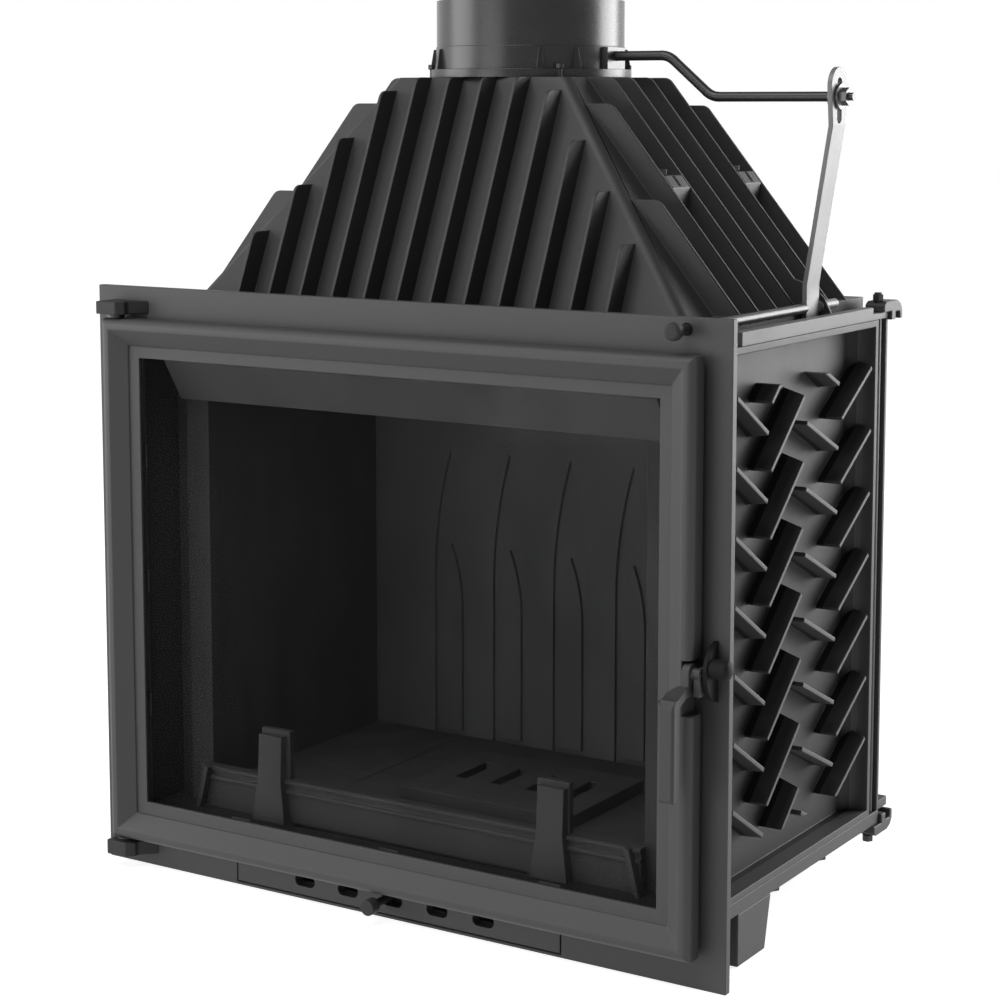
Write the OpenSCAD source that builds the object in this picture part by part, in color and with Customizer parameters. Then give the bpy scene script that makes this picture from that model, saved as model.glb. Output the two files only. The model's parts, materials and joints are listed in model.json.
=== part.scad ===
// Fireplace insert: a cast iron firebox behind a flat face plate, with a glazed door, a finned hood,
// a flue collar with a damper, and an air slide in its foot. X is the viewer's right, Y runs into
// the depth and Z is up. All lengths are in millimetres.

/* [Face plate] */
// Width of the face plate
plate_w = 748; // [700:1:800]
// Height of the face plate
plate_h = 624; // [616:1:640]
// Thickness of the face plate
plate_t = 8.5; // [7:0.1:10]
// Width of the face plate beside its opening
opening_side = 60; // [56:0.5:66]
// Height of the face plate above its opening
opening_head = 64; // [62:0.5:70]

/* [Door] */
// Lap of the door over the opening's sides
door_lap = 35; // [32:0.5:36]
// Lap of the door over the opening's top
door_lap_top = 31.5; // [28:0.5:33]
// Height of the door's lower edge above the floor
door_foot = 33; // [32:0.5:40]
// Thickness of the door frame
door_t = 26.5; // [25:0.1:28]
// Gap between the door and the face plate
door_gap = 1.5; // [1:0.1:2]
// Width of the flat outer band of the door frame
band_w = 11; // [10.5:0.1:12]
// Width of the bevel inside the outer band
bevel_w = 17; // [15:0.5:18]
// Depth that the bevel sinks
bevel_sink = 12; // [10:0.1:12.5]
// Width of the flat inner band round the glass
inner_band_w = 13; // [12:0.1:14]
// Thickness of the glass
glass_t = 4; // [3.5:0.1:4.2]
// Width of the sealing rope in its groove
rope_w = 12; // [10:0.5:12.5]
// Distance of the hinge axis from the door's left edge
hinge_inset = 11; // [10:0.1:12]
// Radius of the hinge pins
hinge_pin_r = 5; // [4:0.1:5.5]

/* [Handle] */
// Height of the handle's pivot above the floor
pivot_z = 304.5; // [280:0.5:330]
// Distance of the pivot in front of the face plate
pivot_out = 22; // [21:0.1:22.4]
// Radius of the handle's hub
hub_r = 9.5; // [9:0.1:10]
// Width of the grip
grip_w = 16.5; // [15:0.5:20]
// Length of the grip
grip_h = 91; // [80:1:105]
// Thickness of the grip
grip_t = 10; // [8:0.5:12]
// Distance of the grip's front in front of the face plate
grip_out = 60; // [56:0.5:66]

/* [Casing] */
// Distance of the side walls' flanges from the face plate's edge
box_side = 22; // [20:0.5:26]
// Depth from the face plate's front to the back of the side walls
box_depth = 378; // [370:1:390]
// Height of the firebox floor casting's top, where the walls stand
wall_foot = 66; // [60:0.5:66]
// Distance of the side walls' top below the face plate's top
wall_drop = 31; // [30:0.5:36]
// Thickness of the cast walls
wall_t = 8; // [6:0.1:9]
// Depth of the flanges and ribs outside the walls
flange_d = 26; // [20:0.5:28]
// Thickness of the flanges
flange_t = 7; // [5:0.1:8]
// Vertical pitch of the herringbone ribs
rib_pitch = 65.2; // [55:0.1:80]
// Thickness of the herringbone ribs
rib_t = 4.5; // [3:0.1:6]
// Depth of the rear wall's rim
rear_rim_d = 24; // [22:0.5:30]
// Thickness of the base plate's band
base_t = 14; // [12:0.5:16]

/* [Hood] */
// Thickness of the top frame's floor
frame_t = 7; // [6:0.1:8]
// Height of the rails on the top frame
rail_h = 6.5; // [5:0.1:8]
// Distance of the hood's foot flange from the side walls' flanges
hood_flange_side = 31.5; // [31:0.5:36]
// Thickness of the hood's foot flange
hood_flange_t = 13; // [10:0.5:15]
// Distance of the hood's body at its foot from the foot flange's edge
hood_foot_side = 29; // [28:0.5:34]
// Distance from the spigot to the edge of the hood's top at each side
hood_head_rim = 5; // [3:0.5:8]
// Distance from the face plate's front to the hood's body at its foot
hood_foot_y = 65.1; // [64:0.1:75]
// Distance from the spigot to the front edge of the hood's top
hood_head_rim_front = 0.7; // [0.5:0.1:3]
// Distance that the hood's back leans in
hood_back_lean = 32.4; // [25:0.1:40]
// Height of the hood's body above its foot flange
hood_h = 228; // [210:1:240]
// Thickness of the hood's walls
hood_t = 7; // [5:0.1:8]
// Pitch of the cooling fins
fin_pitch = 40; // [36:0.5:44]
// Thickness of the cooling fins
fin_t = 3.6; // [3:0.1:6]
// Depth of the cooling fins in front, measured level
fin_d = 26.5; // [24:0.1:28]
// Depth of the cooling fins at the sides, measured level
side_fin_d = 30; // [26:0.1:31]

/* [Flue] */
// Outer radius of the spigot that the flue pipe slides over
flue_r = 99; // [96:0.1:100]
// Thickness of the spigot's wall
flue_t = 5.5; // [5:0.1:8]
// Height of the flue collar above the hood
flue_h = 80; // [76:1:100]
// Length of the spigot that the flue pipe covers
flue_grip = 48; // [40:1:48]
// Width of the collar's flange round the spigot
collar_flange_w = 7.5; // [7:0.5:12]
// Distance from the spigot to the back edge of the hood's top
hood_head_rim_back = 0.6; // [0.5:0.1:2]

/* [Damper] */
// Radius of the damper's shaft
shaft_r = 5; // [4.2:0.1:5.5]
// Drop of the crank below the damper's shaft
crank_drop = 41.9; // [40:0.1:43]
// Gap between the damper's blade and the bore
blade_gap = 11.5; // [9:0.5:18]
// Thickness of the damper's blade
blade_t = 3; // [2:0.1:4]
// Thickness of the lever
lever_t = 5; // [4:0.1:6]
// Width of the lever
lever_w = 29.5; // [26:0.5:32]
// Distance that the pull rod slides
pull_travel = 30; // [20:0.5:30]
// Radius of the pull rod
pull_r = 5; // [4:0.1:5]

/* [Air inlet] */
// Length of the air panel beyond its last slot
panel_end = 75; // [60:1:80]
// Height of the air panel
panel_h = 23.6; // [23:0.1:24]
// Length of the air slots
slot_w = 25; // [20:0.5:28]
// Height of the air slots
slot_h = 12; // [10:0.5:13]
// Pitch of the air slots
slot_pitch = 54.5; // [50:0.5:56]

/* [Firebox] */
// Thickness of the side linings
lining_t = 30; // [25:1:32]
// Height of the fire floor above the ground
floor_z = 86; // [84:0.5:88]
// Thickness of the fire floor
floor_t = 8; // [6:0.5:9]
// Width of the grate
grate_w = 208; // [190:1:220]
// Depth of the grate
grate_d = 155; // [145:1:165]
// Height of the grate's top above the fire floor
grate_rise = 14; // [12:0.5:18]
// Distance of the log guard's posts from the middle
guard_post_x = 171; // [160:1:180]
// Height of the log guard's rail
guard_rail_h = 46; // [40:1:50]
// Height of the log guard's posts
guard_post_h = 92; // [80:1:100]

/* [Hidden] */
$fn = 64;

// One overrun for every cut, one gap for pieces that move past each other, and one play for pins
cut = 1;
gap = 0.5;
play = 0.06;
seat_gap = 0.3;

// Face plate, door and opening
plate_hw = plate_w/2;
opening_hw = plate_hw - opening_side;
opening_z = wall_foot;
opening_top = plate_h - opening_head;
door_hw = opening_hw + door_lap;
door_rear = -door_gap;
door_front = door_rear - door_t;
door_top = opening_top + door_lap_top;
door_h = door_top - door_foot;
sink_y = door_front + bevel_sink;
step_w = band_w + bevel_w;
sight_in = step_w + inner_band_w;
sight_lip = 5;
band_drop = 2;
rebate_w = 4;
rebate_d = 5;
gasket_t = 1.3;
glass_lap = 5;
glass_in = sight_in - glass_lap;
gasket_y = sink_y + sight_lip;
glass_y = gasket_y + gasket_t;
glass_back = glass_y + glass_t;
rope_in = 15;
rope_depth = 8;
rope_play = 1;
clip_w = 24;
clip_t = 2;
clip_over = 5;
clip_out = 7.5;
clip_screw_r = 2;
clip_head_r = 3.2;
clip_head_t = 1.4;
clip_screw_l = 4;
clip_across_share = [-0.6, 0, 0.6];
clip_up_share = [-0.55, 0, 0.55];

// Hinges on the door's left edge
hinge_x = -door_hw + hinge_inset;
hinge_y = door_front + (door_t + door_gap)/2 - gap;
hinge_round_r = -gap - hinge_y;
hinge_arm = 15;
hinge_plate_t = 13.5;
hinge_lift = 4.5;
hinge_lower_t = 16;
hinge_lower_drop = 3.5;
hinge_depth = 29;
hinge_root_w = 33;
hinge_chamfer = 7;
hinge_pin_in = 14;
hinge_washer_r = 9;

// Handle and what it closes on
pivot_y = -pivot_out;
pin_r = 3;
hub_w = 8;
hub_notch_gap = 1;
hub_x0 = door_hw - hub_w;
hub_notch_x = hub_x0 - hub_notch_gap;
hub_notch_drop = 40;
hub_notch_rise = 2;
claw_gap = 1.5;
claw_x0 = door_hw + claw_gap;
claw_t = 7;
claw_x1 = claw_x0 + claw_t;
claw_hub_r = 5.5;
claw_r0 = 16.6;
claw_r1 = 20.8;
claw_web = 8;
pin_in_frame = 5;
roller_r = 4;
roller_out = 11;
roller_y = -roller_out;
roller_z = pivot_z + gap;
roller_pin_r = 2;
keeper_gap = 0.8;
keeper_x0 = claw_x1 + keeper_gap;
keeper_drop = 1;
keeper_t = 4.7;
keeper_h = 57;
keeper_d = 24;
keeper_x1 = keeper_x0 + keeper_t;
boss_r = 9;
boss_l = 20;
boss_up = 4;
boss_out = 13;
boss_z = roller_z + boss_up;
boss_y = -boss_out;
arm_h = 10;
arm_rise = 12;
arm_run = 25;
arm_under = 15;
arm_wide_gap = 2;
arm_taper = 14;
grip_below = 22.5;
grip_z1 = pivot_z - grip_below;
grip_z0 = grip_z1 - grip_h;
grip_y0 = -grip_out;
grip_y1 = grip_y0 + grip_t;
grip_round = 4;
arm_z1 = grip_z1 + arm_rise;
arm_z0 = arm_z1 - arm_h;
arm_wide_y = door_front - arm_wide_gap;

// Box of the casing
box_hw = plate_hw - box_side;
wall_out = box_hw - flange_d;
wall_in = wall_out - wall_t;
wall_top = plate_h - wall_drop;
base_bottom = wall_foot - base_t;
box_back = box_depth + rear_rim_d;
cove_r = 22;
rib_panel_in = 46.5;
rib_panel_in_top = 43.5;
rib_panel_in_foot = 43;
rib_panel_top = wall_top - rib_panel_in_top;
rib_panel_foot = wall_foot + rib_panel_in_foot;
rib_rows = ceil((rib_panel_top - rib_panel_foot)/rib_pitch) + 1;
rib_column_shares = [0, 0.234, 0.4826, 0.7446, 1];
rib_phase_shares = [0.049, 0.242, -0.325, 0.762];
rib_angles = [-31.4, 41.5, -24.9, 31.5];
rear_rail_w = 14;
rear_channel = 10;
rear_channel_lip = 5;
tie_r = 4;
tie_x = box_hw - rear_rail_w/2;
tie_behind = 6;
tie_y = box_depth + flange_t + tie_behind;
tie_hole_r = tie_r + gap;
claw_h = 11;
claw_l = 48;
claw_behind = 5;
claw_y = box_depth + claw_behind;
claw_hw = 11;
claw_hook = 9;
claw_body_l = 10.5;
claw_body_y = box_back + gap - claw_y;
rear_lug_w = 16;
rear_lug_d = 22;
rear_lug_h = 10;
tie_nut_r = 6;
tie_nut_t = 7;
tie_thread = 2;
tie_z0 = base_bottom - claw_h - tie_nut_t + tie_thread;
rear_foot_x = 190;

// Base, feet and ash well
foot_y0 = 68.5;
foot_y1 = 127.5;
foot_y2 = 140;
foot_w = 46;
foot_hollow = 9;
bolt_r = 5;
bolt_head_r = 8.5;
bolt_head_t = 6;
base_bolt_in = 12;
base_bolt_y_shares = [0.1106, 0.5712];
grate_x = 38;
grate_y0 = 110;
grate_y1 = grate_y0 + grate_d;
grate_x0 = grate_x - grate_w/2;
grate_x1 = grate_x + grate_w/2;
grate_rest = 10;
hatch_x0 = grate_x0 + grate_rest;
hatch_x1 = grate_x1 - grate_rest;
hatch_y0 = grate_y0 + grate_rest;
hatch_y1 = grate_y1 - grate_rest;
well_t = 4;
well_floor = 14;
pan_gap = 3;
pan_t = 2;
pan_top = floor_z - floor_t;
floor_seam_x = -140;
floor_seam = 1;
floor_front = 46;
floor_rib_t = 10;
floor_rib_shares = [-0.9, -0.62, 0.66, 0.93];

// Top frame and hood
frame_top = wall_top + frame_t;
rail_w = 11;
rail_y0 = 62;
rail_y1_in = 14;
tie_z1 = frame_top + claw_h + tie_nut_t + tie_thread;
frame_over = 8;
frame_back = box_back + frame_over;
frame_mouth_in = 28;
hood_z0 = frame_top + hood_flange_t;
hood_z1 = hood_z0 + hood_h;
hood_flange_y0 = 36;
hood_flange_hw = box_hw - hood_flange_side;
hood_foot_hw = hood_flange_hw - hood_foot_side;
hood_head_hw = flue_r + hood_head_rim;
hood_foot_in = 6;
hood_foot_back = box_back - hood_foot_in;
hood_head_back = hood_foot_back - hood_back_lean;
flue_y = hood_head_back - hood_head_rim_back - flue_r;
hood_head_y = flue_y - flue_r - hood_head_rim_front;
front_slope = (hood_head_y - hood_foot_y)/hood_h;
side_slope = (hood_foot_hw - hood_head_hw)/hood_h;
back_slope = (hood_foot_back - hood_head_back)/hood_h;
back_fin_d = 12;
fin_root = 3;
fin_round = 12;
fin_clear = 18.5;
side_fin_clear = 26;
fin_edge = 50;
side_fin_edge = 30;
fin_middle_y = flue_y - fin_pitch/2;
fins_each_side = floor((hood_foot_hw - fin_edge)/fin_pitch + 1/2);
side_fins_ahead = floor((fin_middle_y - hood_foot_y - side_fin_edge)/fin_pitch);
side_fins_behind = floor((hood_foot_back - fin_middle_y - side_fin_edge)/fin_pitch);
hood_mouth_ledge = 2;
flue_bore_r = flue_r - flue_t;
hood_mouth_r = flue_bore_r + hood_mouth_ledge;

// Guide for the pull rod, on one of the right-hand fins
pull_x = max(hood_flange_hw, hood_foot_hw + side_fin_d) + pull_r + gap;
pull_up = 13;
pull_z = frame_top + pull_up;
ear_y = fin_middle_y + fin_pitch;
ear_points_shares = [[0, 1], [0.28, 1], [0.6, 0.85], [0.86, 0.56], [1, 0.18], [1, 0]];
ear_in = 6;
ear_h = 39;
ear_x0 = hood_foot_hw - ear_in;
ear_x1 = box_hw - rail_w - gap;
ear_z0 = frame_top;
ear_z1 = frame_top + ear_h;

// Small tables between the fins
clamp_up = 131;
clamp_z = hood_z0 + clamp_up;
clamp_t = 6;
clamp_face_h = 12;
clamp_drop = 42;
clamp_slot_w = 4.5;
clamp_slot_h = 10;
clamp_slot_d = 5;
clamp_edge = side_fin_d;
clamp_bolt_r = 4;
clamp_bolt_in = 15;
clamp_nut_r = 8;
clamp_nut_t = 6;

// Flue collar
collar_t = 8.5;
collar_top = hood_z1 + flue_h;
collar_step_z = collar_top - flue_grip;
spigot_root = 0.8;
collar_bolt_in = 1.5;
spigot_root_r = flue_r + spigot_root;
collar_flange_r = flue_r + collar_flange_w;
collar_bolt_ring_r = collar_flange_r - collar_bolt_in;
collar_bolt_angles = [42, 138, 222, 318];
collar_bolt_r = 2.5;
collar_nut_r = 4.7;
collar_nut_t = 5;
gusset_t = 3;
gusset_foot_t = 8;
gusset_h = 21;
gusset_top_w = 2.5;
gusset_in = 0.5;
gusset_spread = 11;
shaft_up = 8.4;
shaft_z = hood_z1 + collar_t + shaft_r + shaft_up;
bearing_w = 36.5;
bearing_h = 22.5;
bearing_out = 5;
bearing_x = flue_r + bearing_out;

// Damper, lever and pull rod
lever_foot_x = pull_x - lever_t/2;
lever_lean = 25;
lever_foot_drop = 10;
lever_straight = 23;
lever_head_up = 10;
lever_head_h = 38;
lever_head_x = lever_foot_x + lever_lean;
lever_y = flue_y;
lever_foot_z = pull_z - lever_foot_drop;
lever_bend_z0 = pull_z + lever_straight;
lever_head_r = 19;
lever_head_z = shaft_z - crank_drop + lever_head_up;
lever_bend_z1 = lever_head_z - lever_head_h;
slot_play = 1.2;
end_step = 1;
end_r = shaft_r - end_step;
bend_swell = 0.1;
lever_slot_r = end_r + slot_play;
lever_slot_drop = 26;
lever_slot_z0 = shaft_z - crank_drop - lever_slot_drop;
lever_slot_z1 = shaft_z - sqrt(crank_drop*crank_drop - pull_travel*pull_travel) + gap;
crank_z = shaft_z - crank_drop;
crank_out = 50.5;
crank_x0 = collar_flange_r + crank_out;
crank_r = 22;
crank_angle = 40;
crank_slant = (crank_drop - 2*crank_r*(1 - cos(crank_angle)))/sin(crank_angle);
crank_x1 = crank_x0 + 2*crank_r*sin(crank_angle) + crank_slant*cos(crank_angle);
shaft_thread = 15;
shaft_left_out = 4.5;
shaft_end_x = lever_head_x + lever_t + shaft_thread;
shaft_left_x = -flue_r - shaft_left_out;
washer_r = 13;
washer_t = 2.5;
nut_r = 9;
nut_t = 7;
blade_bolt_share = 0.4878;
blade_bolt_r = 3;
blade_bolt_head_r = 6;
blade_bolt_head_t = 4;
blade_seat = 1.2;
blade_r = flue_bore_r - blade_gap;
blade_bolt_x = blade_bolt_share*blade_r;
blade_rise = shaft_r - blade_seat;
knob_r = 8.5;
knob_l = 14;
knob_neck_r = 6;
knob_neck_l = 6;
knob_out = 16;
pull_tail = 38;
knob_y = -knob_out;
pull_tail_y = ear_y + pull_tail;

// Air inlet in the foot of the plate
slots_each_side = 2;
panel_hw = slots_each_side*slot_pitch + slot_w/2 + panel_end;
panel_z0 = 4.4;
panel_z1 = panel_z0 + panel_h;
panel_seam = 1.4;
duct_y = 36;
duct_t = 4;
duct_z0 = 6;
duct_slot_y = 24;
slot_in = 2.5;
slot_z = panel_z1 - slot_h/2 - slot_in;
slide_t = 3;
slide_end = 22;
slide_up = 3.6;
slide_over = 3;
slide_hw = slots_each_side*slot_pitch + slot_w/2 + slide_end;
slide_z0 = panel_z0 + slide_up;
slide_z1 = panel_z1 + slide_over;
slide_y0 = plate_t + seat_gap;
lip_t = 3;
lip_h = 4;
air_stem_r = 4;
air_foot_t = 2;
air_stem_gap = 0.4;
air_travel = slot_w - 2*air_stem_r - 2*air_stem_gap;
air_knob_x = -air_travel/2;
air_knob_r = 8;
air_knob_out = 32;
air_knob_l = 12;
air_knob_y0 = -air_knob_out;
air_knob_y1 = air_knob_y0 + air_knob_l;
panel_tab_w = 20;
panel_tab_t = 4;
panel_screw_r = 2.5;
panel_screw_head_r = 5;
panel_screw_head_t = 3;

// Lining, baffles and log guard
lining_gap = 24;
lining_gap_back = 8;
lining_drop = 48;
lining_in = wall_in - lining_gap - lining_t;
lining_back = box_depth - lining_gap_back;
lining_top = wall_top - lining_drop;
lining_front = 44;
lining_rib_t = 20;
rear_lining_t = 20;
rear_lining_y = lining_back - rear_lining_t;
lancet_pitch = 80;
lancet_w = 44;
lancet_below = 125;
lancet_up = -3;
lancet_z1 = lining_top - lancet_below;
lancet_z0 = floor_z + lancet_up;
lancet_depth = 4;
lancet_rim = 7;
lancet_drop = 110;
lancet_rise = 150;
baffle_t = 12;
baffle_drop = 45;
baffle_z = lining_top - baffle_drop;
baffle_front = 120;
baffle_ledge_w = 10;
baffle_ledge_t = 10;
baffle_upper_front = 46;
baffle_upper_gap = 88;
baffle_upper_back = box_depth - baffle_upper_gap;
deflector_t = 5;
deflector_hw = lining_in + lining_t - 2*gap;
deflector_y = 40;
deflector_below = 4;
deflector_h = 52;
deflector_z1 = opening_top - deflector_below;
deflector_z0 = deflector_z1 - deflector_h;
deflector_tab_h = 24;
guard_y0 = 24;
guard_y1 = 40;
guard_foot = 5;
guard_over = 4;
guard_hw = lining_in + guard_over;
guard_post_w = 30;
guard_post_foot_w = 43;
guard_tab_w = 37;
guard_tab_in = 20;
guard_tab_t = 8;
guard_tab_rise = 5;
guard_ledge_t = 4;
guard_ledge_z_shares = [0.72, 0.94];
guard_rail_t = 9;
guard_rib_t = 6;
guard_rib_w = 24;
guard_rib_shares = [-1, 1];
grate_wall = 8;
grate_bar_pitch = 44;
grate_slot_w = 14;
grate_slot_l = 62;
grate_slot_y = (grate_y0 + grate_y1)/2 + 12;

// Place of a base bolt behind the front feet, from its share of the way to the casing's back
function base_bolt_y(s) = foot_y2 + s*(box_depth - foot_y2);

// Where the origin stands: under the middle of the whole insert
mid_x = (keeper_x1 + boss_l - plate_hw)/2;
mid_y = (claw_y + claw_l - grip_out)/2;

iron = "#3c3d3f";
dark_iron = "#2a2b2c";
steel = "#8d8f91";
black = "#1b1b1c";

module seat() translate([-mid_x, -mid_y, 0]) children();

module block(x0, x1, y0, y1, z0, z1) translate([x0, y0, z0]) cube([x1 - x0, y1 - y0, z1 - z0]);

module rod_x(x0, x1, y, z, r) translate([x0, y, z]) rotate([0, 90, 0]) cylinder(h = x1 - x0, r = r);

module rod_y(y0, y1, x, z, r) translate([x, y1, z]) rotate([90, 0, 0]) cylinder(h = y1 - y0, r = r);

module rod_z(z0, z1, x, y, r) translate([x, y, z0]) cylinder(h = z1 - z0, r = r);

module prism_x(points, x0, x1)
    translate([x0, 0, 0]) rotate([90, 0, 90]) linear_extrude(x1 - x0) polygon(points);

module prism_y(points, y0, y1)
    translate([0, y1, 0]) rotate([90, 0, 0]) linear_extrude(y1 - y0) polygon(points);

module prism_z(points, z0, z1) translate([0, 0, z0]) linear_extrude(z1 - z0) polygon(points);

module both_sides() {
    children();
    mirror([1, 0, 0]) children();
}

module hex(z0, z1, x, y, r) translate([x, y, z0]) cylinder(h = z1 - z0, r = r, $fn = 6);

function arc(cx, cy, r, a0, a1, steps) =
    [for (i = [0:steps]) [cx + r*cos(a0 + (a1 - a0)*i/steps), cy + r*sin(a0 + (a1 - a0)*i/steps)]];

// Face plate
module face_plate() seat() color(iron) difference() {
    block(-plate_hw, plate_hw, 0, plate_t, 0, plate_h);
    block(-opening_hw, opening_hw, -cut, plate_t + cut, opening_z, opening_top);
    block(-panel_hw - panel_seam, panel_hw + panel_seam, -cut, plate_t + cut, panel_z0 - panel_seam,
        panel_z1 + panel_seam);
    rod_y(-cut, plate_t + cut, pull_x, pull_z, pull_r + gap);
}

// One rib of the herringbone, from the wall out to the flange's edge, its head end sloping back
module herringbone_rib(y, z, angle, run) {
    length = run/cos(angle);
    translate([0, y, z]) rotate([angle, 0, 0]) translate([0, 0, -rib_t/2])
        linear_extrude(rib_t) polygon([[wall_out - cut, 0], [wall_out - cut, length],
            [wall_out, length], [box_hw - seat_gap, length - flange_d/3], [box_hw - seat_gap, 0]]);
}

module herringbone() {
    y0 = plate_t + rib_panel_in;
    y1 = box_depth - flange_t;
    intersection() {
        for (c = [0:len(rib_angles) - 1], k = [0:rib_rows]) {
            a = y0 + (y1 - y0)*rib_column_shares[c];
            b = y0 + (y1 - y0)*rib_column_shares[c + 1];
            herringbone_rib(a, rib_panel_top - rib_pitch*(rib_phase_shares[c] + k), rib_angles[c],
                b - a);
        }
        block(wall_out - cut, box_hw, y0, y1, rib_panel_foot, rib_panel_top);
    }
}

module side_wall() {
    block(wall_in, wall_out, plate_t, box_depth, wall_foot, wall_top);
    block(wall_out - cut, box_hw, plate_t, box_depth, wall_foot, wall_foot + flange_t);
    block(wall_out - cut, box_hw, plate_t, box_depth, wall_top - flange_t, wall_top);
    block(wall_out - cut, box_hw, box_depth - flange_t, box_depth, wall_foot, wall_top);
    block(wall_out - cut, box_hw - cut, plate_t, plate_t + flange_t, wall_foot, wall_top);
    prism_z(concat([[wall_out - cut, box_depth - flange_t + cut], [wall_out - cut, box_depth
        - flange_t - cove_r]], arc(wall_out + cove_r, box_depth - flange_t - cove_r, cove_r, 180, 90, 8),
        [[wall_out + cove_r, box_depth - flange_t + cut]]), wall_foot + cut, wall_top - cut);
    herringbone();
}

module side_wall_right() seat() color(iron) side_wall();

module side_wall_left() seat() color(iron) mirror([1, 0, 0]) side_wall();

// Rear wall: a panel with a rim, and side rails with a channel open outwards for the tie rods
module rear_wall() seat() color(dark_iron) difference() {
    union() {
        block(-box_hw, box_hw, box_depth, box_depth + flange_t, wall_foot, wall_top);
        block(-box_hw, box_hw, box_depth, box_back, wall_foot, wall_foot + flange_t);
        block(-box_hw, box_hw, box_depth, box_back, wall_top - flange_t, wall_top);
        both_sides() block(box_hw - rear_rail_w, box_hw, box_depth, box_back, wall_foot, wall_top);
        both_sides() block(box_hw - rear_lug_w, box_hw, box_back - cut, box_back + rear_lug_d,
            wall_foot, wall_foot + rear_lug_h);
        for (x = [-1, 0, 1])
            block(x*box_hw/2 - rib_t/2, x*box_hw/2 + rib_t/2, box_depth, box_back, wall_foot, wall_top);
    }
    both_sides() block(tie_x - rear_channel/2, box_hw + cut, box_depth - cut, box_back - rear_channel_lip,
        wall_foot - cut, wall_top + cut);
}

// Duct behind the air panel, closed below, that leads up through the base
module air_duct() {
    hw = panel_hw + panel_tab_w + 2*duct_t;
    block(-hw, hw, duct_y, duct_y + duct_t, duct_z0, base_bottom + cut);
    block(-hw, hw, duct_slot_y, duct_y + cut, duct_z0, duct_z0 + duct_t);
    both_sides() block(hw - duct_t, hw, duct_slot_y, duct_y + cut, duct_z0, base_bottom + cut);
}

// Base plate, with the air duct and the well that the ash pan stands in
module base_plate() seat() color(iron) difference() {
    union() {
        block(-box_hw, box_hw, plate_t, box_back, base_bottom, wall_foot);
        block(hatch_x0 - well_t, hatch_x1 + well_t, hatch_y0 - well_t, hatch_y1 + well_t, well_floor,
            base_bottom + cut);
        for (s = floor_rib_shares)
            block(s*lining_in - floor_rib_t/2, s*lining_in + floor_rib_t/2, floor_front, rear_lining_y
                - gap, wall_foot - cut, floor_z - floor_t);
        air_duct();
    }
    block(hatch_x0, hatch_x1, hatch_y0, hatch_y1, well_floor + well_t, wall_foot + cut);
    block(-slide_hw, slide_hw, duct_slot_y, duct_y, base_bottom - cut, wall_foot + cut);
    both_sides() rod_z(base_bottom - cut, wall_foot + cut, tie_x, tie_y, tie_hole_r);
    both_sides() for (s = base_bolt_y_shares)
        rod_z(base_bottom - cut, wall_foot + cut, box_hw - base_bolt_in, base_bolt_y(s), bolt_r + play);
}

// Top frame: a floor on the walls, narrow behind the face plate, with a rail along each side
module top_frame() seat() color(iron) difference() {
    union() {
        block(-wall_out, wall_out, plate_t, rail_y0 + cut, wall_top, frame_top);
        block(-box_hw, box_hw, rail_y0, box_back, wall_top, frame_top);
        block(-hood_flange_hw, hood_flange_hw, box_back - cut, frame_back, wall_top, frame_top);
        both_sides() block(box_hw - rail_w, box_hw, rail_y0, box_depth - rail_y1_in, wall_top,
            frame_top + rail_h);
    }
    block(-hood_foot_hw + frame_mouth_in, hood_foot_hw - frame_mouth_in, hood_foot_y + frame_mouth_in,
        hood_foot_back - frame_mouth_in, wall_top - cut, frame_top + cut);
    both_sides() rod_z(wall_top - cut, frame_top + rail_h + cut, tie_x, tie_y, tie_hole_r);
}

// A pyramid cut off at two heights; inset moves its sloping faces level inwards
module hood_shape(inset, z0, z1) {
    lo = z0 - hood_z0;
    hi = z1 - hood_z0;
    intersection() {
        prism_y([[-hood_foot_hw + inset + side_slope*lo, z0], [hood_foot_hw - inset - side_slope*lo, z0],
            [hood_foot_hw - inset - side_slope*hi, z1], [-hood_foot_hw + inset + side_slope*hi, z1]],
            0, box_back);
        prism_x([[hood_foot_y + inset + front_slope*lo, z0], [hood_foot_back - inset - back_slope*lo, z0],
            [hood_foot_back - inset - back_slope*hi, z1], [hood_foot_y + inset + front_slope*hi, z1]],
            -box_hw, box_hw);
    }
}

// Outline of one fin: u runs into the hood, and the outer top corner is round
function fin_outline(u0, slope, depth, top) =
    let (rise = top - hood_z0, norm = sqrt(1 + slope*slope), lean = atan(slope),
        cz = top - fin_round, cu = u0 - depth + slope*(cz - hood_z0) + fin_round*norm)
    concat([[u0 + fin_root, hood_z0], [u0 - depth, hood_z0]],
        arc(cu, cz, fin_round, 180 - lean, 90, 4),
        [[u0 + fin_root + slope*rise, top]]);

function front_fin_top(x) = min(hood_z1, hood_z0 + (hood_foot_hw - abs(x))/side_slope - fin_clear);

function side_fin_top(y) = min(hood_z1, hood_z0 + (y - hood_foot_y)/front_slope - side_fin_clear,
    hood_z0 + (hood_foot_back - y)/back_slope - side_fin_clear);

module hood_fins() {
    for (i = [0:fins_each_side - 1]) both_sides() {
        x = fin_pitch*(i + 1/2);
        outline = fin_outline(hood_foot_y, front_slope, fin_d, front_fin_top(x));
        prism_x(outline, x - fin_t/2, x + fin_t/2);
        rear = fin_outline(-hood_foot_back, back_slope, back_fin_d, front_fin_top(x));
        translate([x - fin_t/2, 0, 0]) rotate([90, 0, 90]) linear_extrude(fin_t)
            polygon([for (p = rear) [-p[0], p[1]]]);
    }
    for (i = [-side_fins_ahead:side_fins_behind]) both_sides() {
        y = fin_middle_y + fin_pitch*i;
        side = fin_outline(-hood_foot_hw, side_slope, side_fin_d, side_fin_top(y));
        prism_y([for (p = side) [-p[0], p[1]]], y - fin_t/2, y + fin_t/2);
    }
}

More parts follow.
